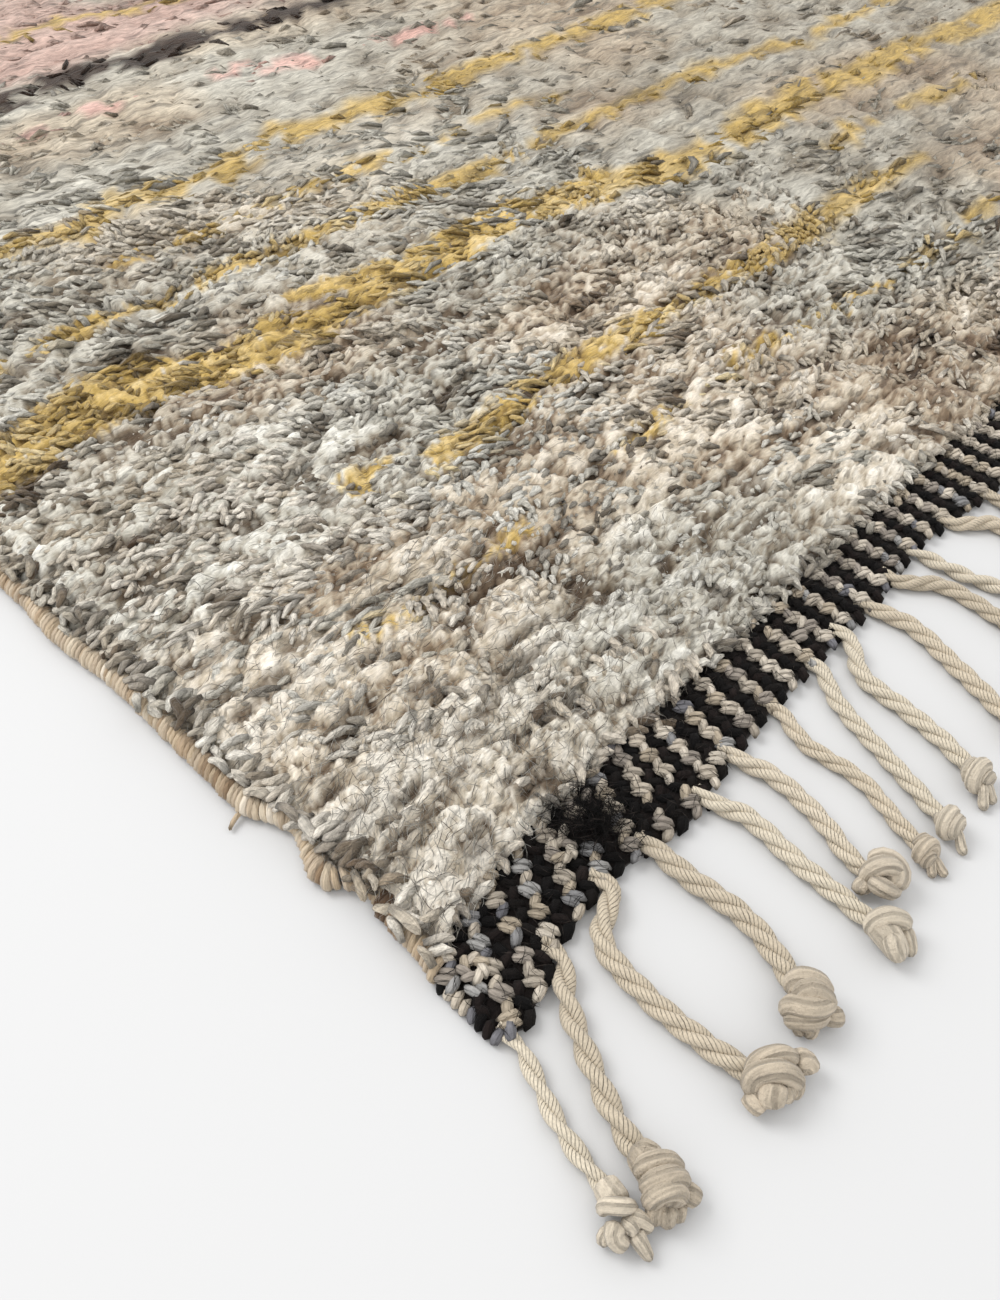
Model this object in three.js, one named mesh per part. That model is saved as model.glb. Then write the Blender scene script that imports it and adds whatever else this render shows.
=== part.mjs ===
// A hand-knotted wool rug of the Beni Mrirt kind, lying flat on a floor.
// Its deep pile stops at an overcast selvedge on both long sides and at a flat
// twined band on both ends, where the warps leave the cloth as knotted cords.
//
// Millimetres, +Z up. X runs across the rug, Y along it, and the origin is the
// middle of the underside. Most sizes are thought out along the edges instead:
// "across" is measured from the left edge, "along" from the near end.
import * as THREE from 'three';

// Driving dimensions
const RUG_WIDTH = 1700;
const RUG_LENGTH = 2400;
const CLEARANCE = 0.3;

const PILE = {
  height: 19.5,
  lump: 3.2,
  wallTop: 14,
  overhangFrom: 9.6,
  shoulder: 18,
  columns: 28,
  rows: 38,
};
const LOCK = { reach: 9, extraReach: 5, sway: 7, tipHeight: 11 };
const BAND = { width: 44, crest: 6.8, trough: 5.2, ribs: 84 };
const SELVEDGE = { width: 13, height: 9, innerHeight: 6.6, shoulderHeight: 5.6, foot: 1.2 };
const STRIP = { depth: 4, height: 7 };
const CORD = { half: 4.3, knotHalf: 7.4, knotReach: 5.5, neck: 11, tip: 17 };

// The band's ribs are a crest and a trough each, and everything that meets the
// band changes direction only at one of these stations.
const STATIONS = BAND.ribs * 2;
const STATION = RUG_WIDTH / STATIONS;

// How far the near end strays outwards, and the left edge inwards, from straight.
const NEAR_STRAY = [
  { across: 0, out: 19 },
  { across: 12, out: 20 },
  { across: 30, out: 15 },
  { across: 52, out: 5 },
  { across: 90, out: 1 },
  { across: 150, out: 9 },
  { across: 172, out: 4 },
  { across: 198, out: 0 },
  { across: 265, out: -3 },
  { across: 326, out: -3 },
  { across: 400, out: -9 },
  { across: 484, out: 0 },
];
const LEFT_STRAY = [
  { along: 20, inwards: -1 },
  { along: 48, inwards: 2 },
  { along: 78, inwards: 8 },
  { along: 96, inwards: -3.4 },
  { along: 126, inwards: 6 },
  { along: 154, inwards: -3 },
  { along: 264, inwards: -1 },
  { along: 315, inwards: -3.4 },
  { along: 380, inwards: -1 },
];

// Cords seen best, each from its root at a station of the band to its knot.
// "route" holds the bends between, as across and out from the near end.
const CORDS = [
  { station: 0, half: 3.8, route: [[1.5, 32], [-8, 56], [-13, 80]], knot: [-15.5, 90] },
  { station: 4, half: 4.8, route: [[34, 22], [18, 50], [7, 75]], knot: [3, 96] },
  { station: 8, half: 4.8, route: [[64, 17], [57, 45], [57.5, 84]], knot: [62, 107] },
  { station: 11, half: 5, route: [[115, 24], [115, 58], [106, 84]], knot: [98, 97] },
  { station: 15, half: 4.6, route: [[161, 26], [156, 57], [152.5, 92]], knot: [150, 107] },
  { station: 18, half: 4.5, route: [[190, 22], [184, 52], [174, 76]], knot: [172, 89] },
  { station: 22, half: 4, route: [[219, 22], [218, 54], [208, 80]], knot: [200, 98] },
  { station: 26, half: 4.2, route: [[254, 20], [240, 54], [229, 82]], knot: [221, 99] },
  { station: 29, half: 4.5, route: [[279, 20], [273, 50], [265, 80]], knot: [256, 96] },
  { station: 32, half: 4.6, route: [[331, 20], [319, 54], [307, 84]], knot: [300, 99] },
  { station: 35, half: 4.4, route: [[373, 17], [371, 50], [362, 82]], knot: [355, 99] },
  { station: 38, half: 4.2, route: [[391, 26], [396, 52], [390, 82]], knot: [383, 99] },
  { station: 42, half: 4.4, route: [[446, 14], [439, 46], [421, 78]], knot: [410, 92] },
];
// The other cords leave the band in this rhythm of stations.
const CORD_RHYTHM = [4, 3, 3];

// Sections of a cord: "at" is a share of the way to the neck, "from" and "past"
// are millimetres before and after the middle of the knot.
const CORD_SECTIONS = [
  { at: 0.2, half: 1, twist: 35 },
  { at: 0.45, half: 1, twist: 80 },
  { at: 0.72, half: 1, twist: 125 },
  { from: CORD.neck, half: 0.9, twist: 165 },
  { from: CORD.knotReach, knot: true, twist: 180 },
  { past: CORD.knotReach, knot: true, twist: 215 },
  { past: CORD.tip, half: 0.75, twist: 240 },
];

// A value between the rows of a table, eased from one row to the next.
function readTable(table, key, value, at) {
  const next = table.findIndex((row) => row[key] > at);
  if (next === 0) return table[0][value];
  if (next < 0) return table[table.length - 1][value];
  const [low, high] = [table[next - 1], table[next]];
  const share = THREE.MathUtils.smoothstep(at, low[key], high[key]);
  return THREE.MathUtils.lerp(low[value], high[value], share);
}

// A slow hand-made waver, a few millimetres each way.
function waver(at, size, phase) {
  return size * (0.6 * Math.sin(at / 148 + phase) + 0.4 * Math.sin(at / 61 + 2.3 * phase));
}

// A number from 0 to 1 that looks random and is always the same for one seed.
function scatter(seed) {
  const wild = Math.sin(seed * 12.9898 + 4.1414) * 43758.5453;
  return wild - Math.floor(wild);
}

// The same curve, taken straight between the given places.
function straightBetween(places, curve) {
  return (at) => {
    const held = THREE.MathUtils.clamp(at, places[0], places.at(-1));
    const next = Math.max(1, places.findIndex((place) => place >= held));
    const [low, high] = [places[next - 1], places[next]];
    return THREE.MathUtils.mapLinear(held, low, high, curve(low), curve(high));
  };
}

// Cord stations of one end: the hand-placed ones first, then the rhythm.
function cordStations(placed, firstStation) {
  const stations = placed.map((cord) => cord.station);
  let next = stations.length ? stations.at(-1) + CORD_RHYTHM[0] : firstStation;
  for (let beat = 1; next < STATIONS; beat += 1) {
    stations.push(next);
    next += CORD_RHYTHM[beat % CORD_RHYTHM.length];
  }
  return stations;
}

// Each end is described on its own from left to right as one stands before it:
// "stray" is how far the band's outer edge lies outside the cloth's nominal end,
// "inner" how far the pile's start lies inside it.
function makeEnd(cords, firstStation, stray, inner) {
  const stations = cordStations(cords, firstStation);
  const cordEdges = stations.flatMap((station) => [station * STATION, (station + 1) * STATION]);
  const outerPlaces = [...new Set([0, ...cordEdges, RUG_WIDTH])];
  const innerPlaces = [];
  for (let column = 0; column < PILE.columns; column += 1) {
    const first = (column * STATIONS) / PILE.columns;
    innerPlaces.push(first * STATION, (first + 2) * STATION);
  }
  innerPlaces.push(RUG_WIDTH);
  return {
    cords,
    stations,
    outerPlaces,
    stray: straightBetween(outerPlaces, stray),
    inner: straightBetween(innerPlaces, inner),
  };
}

const NEAR_TABLE_END = NEAR_STRAY.at(-1).across;
const nearEnd = makeEnd(
  CORDS,
  0,
  (across) => (across < NEAR_TABLE_END
    ? readTable(NEAR_STRAY, 'across', 'out', across)
    : waver(across - NEAR_TABLE_END, 4, 0)),
  (across) => BAND.width - 20 * Math.exp(-across / 45) + waver(across, 3, 0),
);
const farEnd = makeEnd(
  [],
  1,
  (across) => waver(across, 5, 1.9),
  (across) => BAND.width - 2 + waver(across, 4, 4.1),
);

// Outlines of the cloth in across and along.
const nearInner = (across) => nearEnd.inner(across);
const farInner = (across) => RUG_LENGTH - farEnd.inner(RUG_WIDTH - across);
function leftEdge(along) {
  const tableEnd = LEFT_STRAY.at(-1).along;
  if (along < tableEnd) return readTable(LEFT_STRAY, 'along', 'inwards', along);
  return -1 + waver(along - tableEnd, 4, 0);
}
const rightEdge = (along) => RUG_WIDTH + waver(along, 4, 2.6);
const leftRim = (along) => SELVEDGE.width + waver(along, 1.5, 0.4);
const rightRim = (along) => RUG_WIDTH - SELVEDGE.width + waver(along, 2.5, 2.6);

// Low hummocks of the nap.
function pileHeight(across, along) {
  const swell = Math.sin(across / 71 + 1.3 * Math.sin(along / 157));
  const ridge = Math.sin(along / 54 + 1.7 * Math.sin(across / 210) + 0.8);
  const knoll = Math.sin((across + along) / 93) * Math.sin((across - 1.4 * along) / 118);
  return PILE.height + PILE.lump * (0.35 * swell + 0.35 * ridge + 0.3 * knoll);
}

// A closed solid gathered point by point and face by face.
class Shell {
  constructor() {
    this.points = [];
    this.faces = [];
  }

  point(x, y, z) {
    this.points.push(new THREE.Vector3(x, y, z));
    return this.points.length - 1;
  }

  onCloth(across, along, z) {
    return this.point(across - RUG_WIDTH / 2, along - RUG_LENGTH / 2, z);
  }

  triangle(a, b, c) {
    this.faces.push([a, b, c]);
  }

  quad(a, b, c, d) {
    this.triangle(a, b, c);
    this.triangle(a, c, d);
  }

  fan(ring) {
    for (let corner = 1; corner < ring.length - 1; corner += 1) {
      this.triangle(ring[0], ring[corner], ring[corner + 1]);
    }
  }

  // Walls between two rings of as many points.
  join(ring, next) {
    ring.forEach((corner, index) => {
      const after = (index + 1) % ring.length;
      this.quad(corner, ring[after], next[after], next[index]);
    });
  }

  volume() {
    return this.faces.reduce((sum, [a, b, c]) => {
      const cross = new THREE.Vector3().crossVectors(this.points[b], this.points[c]);
      return sum + this.points[a].dot(cross) / 6;
    }, 0);
  }

  mesh(name, material) {
    const turned = this.volume() < 0;
    const index = this.faces.flatMap(([a, b, c]) => (turned ? [a, c, b] : [a, b, c]));
    const geometry = new THREE.BufferGeometry().setFromPoints(this.points);
    geometry.setIndex(index);
    geometry.computeVertexNormals();
    const mesh = new THREE.Mesh(geometry, material);
    mesh.name = name;
    return mesh;
  }
}

// The rim of the pile, walked round once. Each cell has a corner and, a third
// of the way on, a middle: a lock stands out between the two.
function pileRim() {
  const rim = [];
  const place = (across, along, normal, cell) => rim.push({ across, along, normal, cell });
  const { columns, rows } = PILE;
  const columnPlace = (step) => (step * RUG_WIDTH) / columns;
  const sideAlong = (side, rowShare) => {
    const across = side(RUG_LENGTH / 2);
    return THREE.MathUtils.lerp(nearInner(across), farInner(across), rowShare);
  };
  const onEnd = (step, inner, normal, cell) => {
    const across = THREE.MathUtils.clamp(columnPlace(step), leftRim(0), rightRim(0));
    place(across, inner(across), normal, cell);
  };
  const onSide = (step, side, normal, cell) => {
    const along = sideAlong(side, step / rows);
    place(side(along), along, normal, cell);
  };
  for (let column = 0; column < columns; column += 1) {
    onEnd(column, nearInner, [0, -1], [column, 0]);
    onEnd(column + 1 / 3, nearInner, [0, -1]);
  }
  for (let row = 0; row < rows; row += 1) {
    onSide(row, rightRim, [1, 0], [columns, row]);
    onSide(row + 1 / 3, rightRim, [1, 0]);
  }
  for (let column = columns; column > 0; column -= 1) {
    onEnd(column, farInner, [0, 1], [column, rows]);
    onEnd(column - 2 / 3, farInner, [0, 1]);
  }
  for (let row = rows; row > 0; row -= 1) {
    onSide(row, leftRim, [-1, 0], [0, row]);
    onSide(row - 1 / 3, leftRim, [-1, 0]);
  }
  return rim;
}

// Pulls a point of the rim in by a distance, off both edges at a corner.
function pulledIn({ across, along }, distance) {
  const clampSide = THREE.MathUtils.clamp(
    across,
    leftRim(along) + distance,
    rightRim(along) - distance,
  );
  const clampEnd = THREE.MathUtils.clamp(
    along,
    nearInner(clampSide) + distance,
    farInner(clampSide) - distance,
  );
  return [clampSide, clampEnd];
}

// A lock of pile: four sides from a patch of the wall to a tip.
function addLock(shell, base, start, end, seed) {
  const sway = (scatter(seed) - 0.5) * LOCK.sway;
  const reach = LOCK.reach + LOCK.extraReach * scatter(seed + 0.5);
  const [outX, outY] = start.normal;
  const across = (start.across + end.across) / 2 + outX * reach + Math.abs(outY) * sway;
  const along = (start.along + end.along) / 2 + outY * reach + Math.abs(outX) * sway;
  const tip = shell.onCloth(across, along, LOCK.tipHeight + scatter(seed + 0.2));
  base.forEach((corner, index) => {
    shell.triangle(corner, base[(index + 1) % base.length], tip);
  });
}

function pileField(material) {
  const shell = new Shell();
  const rim = pileRim();
  const { columns, rows } = PILE;
  const grid = [];
  for (let row = 0; row <= rows; row += 1) {
    grid.push(new Array(columns + 1));
  }
  const rings = [0, PILE.overhangFrom, PILE.wallTop].map((z) => rim.map((spot) => {
    const [across, along] = pulledIn(spot, CLEARANCE);
    return shell.onCloth(across, along, z);
  }));
  rim.filter((spot) => spot.cell).forEach((spot) => {
    const [column, row] = spot.cell;
    const [across, along] = pulledIn(spot, PILE.shoulder);
    grid[row][column] = shell.onCloth(across, along, pileHeight(across, along));
  });
  for (let row = 1; row < rows; row += 1) {
    for (let column = 1; column < columns; column += 1) {
      const across = (column * RUG_WIDTH) / columns;
      const along = THREE.MathUtils.lerp(nearInner(across), farInner(across), row / rows);
      grid[row][column] = shell.onCloth(across, along, pileHeight(across, along));
    }
  }
  for (let row = 0; row < rows; row += 1) {
    for (let column = 0; column < columns; column += 1) {
      const [low, high] = [grid[row], grid[row + 1]];
      shell.quad(low[column], low[column + 1], high[column + 1], high[column]);
    }
  }
  const [foot, ledge, top] = rings;
  const count = rim.length;
  const centre = shell.point(STATION * 3, -STATION * 5, 0);
  rim.forEach((spot, index) => {
    const after = (index + 1) % count;
    shell.triangle(centre, foot[after], foot[index]);
    shell.quad(foot[index], foot[after], ledge[after], ledge[index]);
    const patch = [ledge[index], ledge[after], top[after], top[index]];
    if (!spot.cell) {
      shell.quad(...patch);
      return;
    }
    addLock(shell, patch, spot, rim[after], index);
    const [column, row] = spot.cell;
    const [nextColumn, nextRow] = rim[(index + 2) % count].cell;
    const inside = grid[row][column];
    const nextInside = grid[nextRow][nextColumn];
    const corner = top[(index + 2) % count];
    shell.triangle(top[index], top[after], inside);
    shell.triangle(top[after], corner, nextInside);
    shell.triangle(top[after], nextInside, inside);
  });
  return shell.mesh('pile_field', material);
}

// The twined band of one end, in the end's own left-to-right.
function endBand(name, end, material) {
  const shell = new Shell();
  let previous = null;
  for (let station = 0; station <= STATIONS; station += 1) {
    const across = station * STATION;
    const top = station % 2 ? BAND.crest : BAND.trough;
    const outer = end.stray(across);
    const inner = -end.inner(across);
    const ring = [[outer, 0], [outer, top], [inner, top], [inner, 0]].map(
      ([out, z]) => shell.point(across - RUG_WIDTH / 2, -out - RUG_LENGTH / 2, z),
    );
    if (previous) shell.join(previous, ring);
    else shell.fan([...ring].reverse());
    previous = ring;
  }
  shell.fan(previous);
  return shell.mesh(name, material);
}

// The overcast edge of one long side, from the pile's rim to the cloth's edge.
function selvedge(name, side, material) {
  const shell = new Shell();
  let previous = null;
  side.places.forEach((along) => {
    const inside = side.rim(along);
    const outside = side.edge(along);
    const crest = (inside + 2 * outside) / 3;
    const ring = [
      [inside, 0],
      [inside, SELVEDGE.innerHeight],
      [crest, SELVEDGE.height],
      [outside, SELVEDGE.shoulderHeight],
      [outside - side.outwards * SELVEDGE.foot, 0],
    ].map(([across, z]) => {
      const low = nearInner(across) + CLEARANCE;
      const high = farInner(across) - CLEARANCE;
      return shell.onCloth(across, THREE.MathUtils.clamp(along, low, high), z);
    });
    if (previous) shell.join(previous, ring);
    else shell.fan([...ring].reverse());
    previous = ring;
  });
  shell.fan(previous);
  return shell.mesh(name, material);
}

// The route of a cord in the end's own left-to-right: root, bends, knot, tip.
function cordRoute(end, order) {
  const station = end.stations[order];
  const rootAcross = (station + 0.5) * STATION;
  const rootOut = end.stray(rootAcross) + CLEARANCE + STRIP.depth;
  const placed = end.cords[order];
  const lean = 27 + 11 * Math.sin(station / 5) + 5 * scatter(station);
  const length = 94 + 7 * Math.sin(station / 3.1) + 6 * scatter(station + 0.3);
  const bow = 7 * Math.sin(station / 4 + 1);
  const route = placed ? placed.route : [
    [rootAcross - 0.1 * lean + bow, 0.24 * length],
    [rootAcross - 0.45 * lean + bow, 0.55 * length],
    [rootAcross - 0.85 * lean, 0.84 * length],
  ];
  const knot = placed ? placed.knot : [rootAcross - lean, length];
  const last = route.at(-1);
  const heading = new THREE.Vector2(knot[0] - last[0], knot[1] - last[1]).normalize();
  const points = [[rootAcross, rootOut], ...route, knot].map(([a, o]) => new THREE.Vector3(a, o, 0));
  const tip = new THREE.Vector3(
    knot[0] + heading.x * CORD.tip,
    knot[1] + heading.y * CORD.tip,
    0,
  );
  return {
    curve: new THREE.CatmullRomCurve3([...points, tip], false, 'centripetal'),
    half: placed ? placed.half : CORD.half + 0.5 * (scatter(station + 0.7) - 0.5),
  };
}

// One cord: square sections that turn as they go, so that its corners are the
// rope's twist, each resting on the floor at its lowest corner.
function addCord(shell, rootRing, route) {
  const length = route.curve.getLength();
  const knotAt = length - CORD.tip;
  let previous = rootRing;
  CORD_SECTIONS.forEach((section) => {
    let distance = (section.at ?? 0) * (knotAt - CORD.neck);
    if (section.from !== undefined) distance = knotAt - section.from;
    if (section.past !== undefined) distance = knotAt + section.past;
    const share = Math.min(distance / length, 1);
    const centre = route.curve.getPointAt(share);
    const heading = route.curve.getTangentAt(share);
    const half = section.knot ? CORD.knotHalf : section.half * route.half;
    const corners = [135, 45, 315, 225].map((degrees) => {
      const angle = THREE.MathUtils.degToRad(degrees + section.twist);
      return [Math.cos(angle) * half * Math.SQRT2, Math.sin(angle) * half * Math.SQRT2];
    });
    const lowest = Math.min(...corners.map(([, rise]) => rise));
    const ring = corners.map(([sideways, rise]) => {
      const across = centre.x + heading.y * sideways;
      const out = centre.y - heading.x * sideways;
      return shell.point(across - RUG_WIDTH / 2, -out - RUG_LENGTH / 2, rise - lowest);
    });
    shell.join(previous, ring);
    previous = ring;
  });
  shell.fan(previous);
}

// The fringe of one end: a narrow strip along the band, with every cord growing
// out of its outer wall.
function cordFringe(name, end, material) {
  const shell = new Shell();
  let previous = null;
  let order = 0;
  end.outerPlaces.forEach((across) => {
    const inner = end.stray(across) + CLEARANCE;
    const outer = inner + STRIP.depth;
    const ring = [[inner, 0], [inner, STRIP.height], [outer, STRIP.height], [outer, 0]].map(
      ([out, z]) => shell.point(across - RUG_WIDTH / 2, -out - RUG_LENGTH / 2, z),
    );
    if (!previous) {
      shell.fan(ring);
      previous = ring;
      return;
    }
    const [innerFoot, innerTop, outerTop, outerFoot] = previous;
    const [nextInnerFoot, nextInnerTop, nextOuterTop, nextOuterFoot] = ring;
    shell.quad(innerFoot, nextInnerFoot, nextInnerTop, innerTop);
    shell.quad(innerTop, nextInnerTop, nextOuterTop, outerTop);
    shell.quad(outerFoot, nextOuterFoot, nextInnerFoot, innerFoot);
    const isRoot = Math.abs(across - (end.stations[order] + 1) * STATION) < CLEARANCE;
    if (isRoot) {
      addCord(shell, [outerTop, nextOuterTop, nextOuterFoot, outerFoot], cordRoute(end, order));
      order += 1;
    } else {
      shell.quad(outerTop, nextOuterTop, nextOuterFoot, outerFoot);
    }
    previous = ring;
  });
  shell.fan([...previous].reverse());
  return shell.mesh(name, material);
}

const pileWool = new THREE.MeshStandardMaterial({ color: 0xb4aca0, roughness: 0.95, metalness: 0 });
const bandWool = new THREE.MeshStandardMaterial({ color: 0x2a2524, roughness: 0.92, metalness: 0 });
const edgeWool = new THREE.MeshStandardMaterial({ color: 0xc9b295, roughness: 0.9, metalness: 0 });
const cordYarn = new THREE.MeshStandardMaterial({ color: 0xd8caa9, roughness: 0.9, metalness: 0 });

// Every place along one side where the pile's rim has a point between its
// corners. The cloth's own ends are added, and held back to the bands.
function sidePlaces(outwards) {
  const spots = pileRim().filter((spot) => spot.normal[0] === outwards);
  const places = spots.map((spot) => spot.along).sort((low, high) => low - high);
  const first = BAND.width + STATION;
  const inside = places.filter((along) => along > first && along < RUG_LENGTH - first);
  return [0, ...inside, RUG_LENGTH];
}

const leftSide = { rim: leftRim, edge: leftEdge, outwards: -1, places: sidePlaces(-1) };
const rightSide = { rim: rightRim, edge: rightEdge, outwards: 1, places: sidePlaces(1) };

const rug = new THREE.Group();
rug.add(pileField(pileWool));
rug.add(selvedge('selvedge_left', leftSide, edgeWool));
rug.add(selvedge('selvedge_right', rightSide, edgeWool));

const nearGroup = new THREE.Group();
nearGroup.add(endBand('end_band_near', nearEnd, bandWool));
nearGroup.add(cordFringe('cord_fringe_near', nearEnd, cordYarn));
rug.add(nearGroup);

// The far end is the same construction, turned round to face the other way.
const farGroup = new THREE.Group();
farGroup.rotation.z = Math.PI;
farGroup.add(endBand('end_band_far', farEnd, bandWool));
farGroup.add(cordFringe('cord_fringe_far', farEnd, cordYarn));
rug.add(farGroup);

export default rug;
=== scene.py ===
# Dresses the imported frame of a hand-knotted wool rug of the Beni Mrirt kind: deep
# heathered pile, twined bands at both ends, overcast edges and a fringe of knotted cords.
#
# Tables are in millimetres along the rug's own edges: "across" from the left edge, "along"
# from the near end, "out" away from an end. Meshes are built in metres, in the CAD's frame.
import math

import bpy
import numpy as np
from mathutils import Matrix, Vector


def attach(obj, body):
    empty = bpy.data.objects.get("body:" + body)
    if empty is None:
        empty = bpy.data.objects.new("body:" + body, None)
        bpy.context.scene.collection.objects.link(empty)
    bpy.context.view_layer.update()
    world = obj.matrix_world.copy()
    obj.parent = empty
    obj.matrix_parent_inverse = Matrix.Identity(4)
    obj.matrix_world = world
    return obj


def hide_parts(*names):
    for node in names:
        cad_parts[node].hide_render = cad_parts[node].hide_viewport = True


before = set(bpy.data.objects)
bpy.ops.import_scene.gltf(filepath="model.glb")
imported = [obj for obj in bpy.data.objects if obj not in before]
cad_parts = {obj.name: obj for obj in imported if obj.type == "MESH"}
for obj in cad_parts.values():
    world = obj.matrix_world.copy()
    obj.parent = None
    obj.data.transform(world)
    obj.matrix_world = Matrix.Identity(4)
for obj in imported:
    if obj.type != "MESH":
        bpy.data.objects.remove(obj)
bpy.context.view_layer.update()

bl_info = {
    "name": "Beni Mrirt rug",
    "version": (1, 0, 0),
    "blender": (4, 5, 0),
    "location": "3D View > Sidebar > Rug",
    "description": "Builds a hand-knotted wool rug with twined ends and a cord fringe",
    "category": "Object",
}

MM = 0.001
RUG_WIDTH = 1700
RUG_LENGTH = 2400
STATIONS = 168
STATION = RUG_WIDTH / STATIONS


# Sizes of the pieces, in millimetres
PILE_HEIGHT = 19.5
PILE_LUMP = 3.2
PILE_TOP = 29
PILE_WALL = 12.6
PILE_SHOULDER = 18
FELT_UNDERSIDE = 2.5
WEAVE_TOP = 3.0
WEAVE_UNDERSIDE = 0.4
EDGE_UNDERSIDE = 0.1
SELVEDGE_WIDTH = 13
BAND_WIDTH = 44
CORD_NECK = 11
PLY_TURNS = 0.85

# How far the near end strays outwards, and the left edge inwards, from straight
NEAR_STRAY = (
    (0, 19), (12, 20), (30, 15), (52, 5), (90, 1), (150, 9),
    (172, 4), (198, 0), (265, -3), (326, -3), (400, -9), (484, 0),
)
LEFT_STRAY = (
    (20, -1), (48, 2), (78, 8), (96, -3.4), (126, 6),
    (154, -3), (264, -1), (315, -3.4), (380, -1),
)

# Cords that are seen best: station of the root, half thickness, bends as across and out,
# the knot, how many plies, the knot's size and the directions of its tails in degrees
CORDS = (
    (0, 3.8, ((1.5, 32), (-8, 56), (-13, 80)), (-15.5, 90), 2, 0.92, (-48, 4, 36)),
    (4, 4.8, ((34, 22), (18, 50), (7, 75)), (3, 96), 2, 1.0, (-30, 28)),
    (8, 4.8, ((64, 17), (57, 45), (57.5, 84)), (62, 107), 3, 1.18, (12,)),
    (11, 5, ((115, 24), (115, 58), (106, 84)), (98, 97), 3, 1.02, (-22, 44)),
    (15, 4.6, ((161, 26), (156, 57), (152.5, 92)), (150, 107), 3, 0.98, (-8, 22)),
    (18, 4.5, ((190, 22), (184, 52), (174, 76)), (172, 89), 3, 0.98, (-14, 16)),
    (22, 4, ((219, 22), (218, 54), (208, 80)), (200, 98), 3, 0.92, (-20, 15)),
    (26, 4.2, ((254, 20), (240, 54), (229, 82)), (221, 99), 3, 0.95, (6,)),
    (29, 4.5, ((279, 20), (273, 50), (265, 80)), (256, 96), 3, 0.96, (-10, 20)),
    (32, 4.6, ((331, 20), (319, 54), (307, 84)), (300, 99), 3, 1.0, (-18, 18)),
    (35, 4.4, ((373, 17), (371, 50), (362, 82)), (355, 99), 3, 1.0, (-18, 12)),
    (38, 4.2, ((391, 26), (396, 52), (390, 82)), (383, 99), 2, 0.95, (10, 30)),
    (42, 4.4, ((446, 14), (439, 46), (421, 78)), (410, 92), 3, 1.0, (-12, 22)),
)
CORD_RHYTHM = (4, 3, 3)

# Which way the nap lies: places with a heading in degrees, anticlockwise from "across"
NAP = (
    (0, 0, 228), (60, 60, 222), (140, 40, 214), (40, 160, 196), (160, 170, 186),
    (0, 320, 160), (120, 330, 152), (260, 60, 196), (420, 40, 188), (300, 260, 176),
    (120, 620, 146), (420, 480, 170), (640, 160, 200), (700, 460, 182), (420, 820, 158),
    (800, 760, 170), (1100, 300, 190), (300, 1150, 160), (900, 1200, 172), (1500, 700, 186),
    (1500, 1500, 176), (700, 1800, 184), (200, 2000, 168), (1300, 2200, 180),
)

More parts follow.
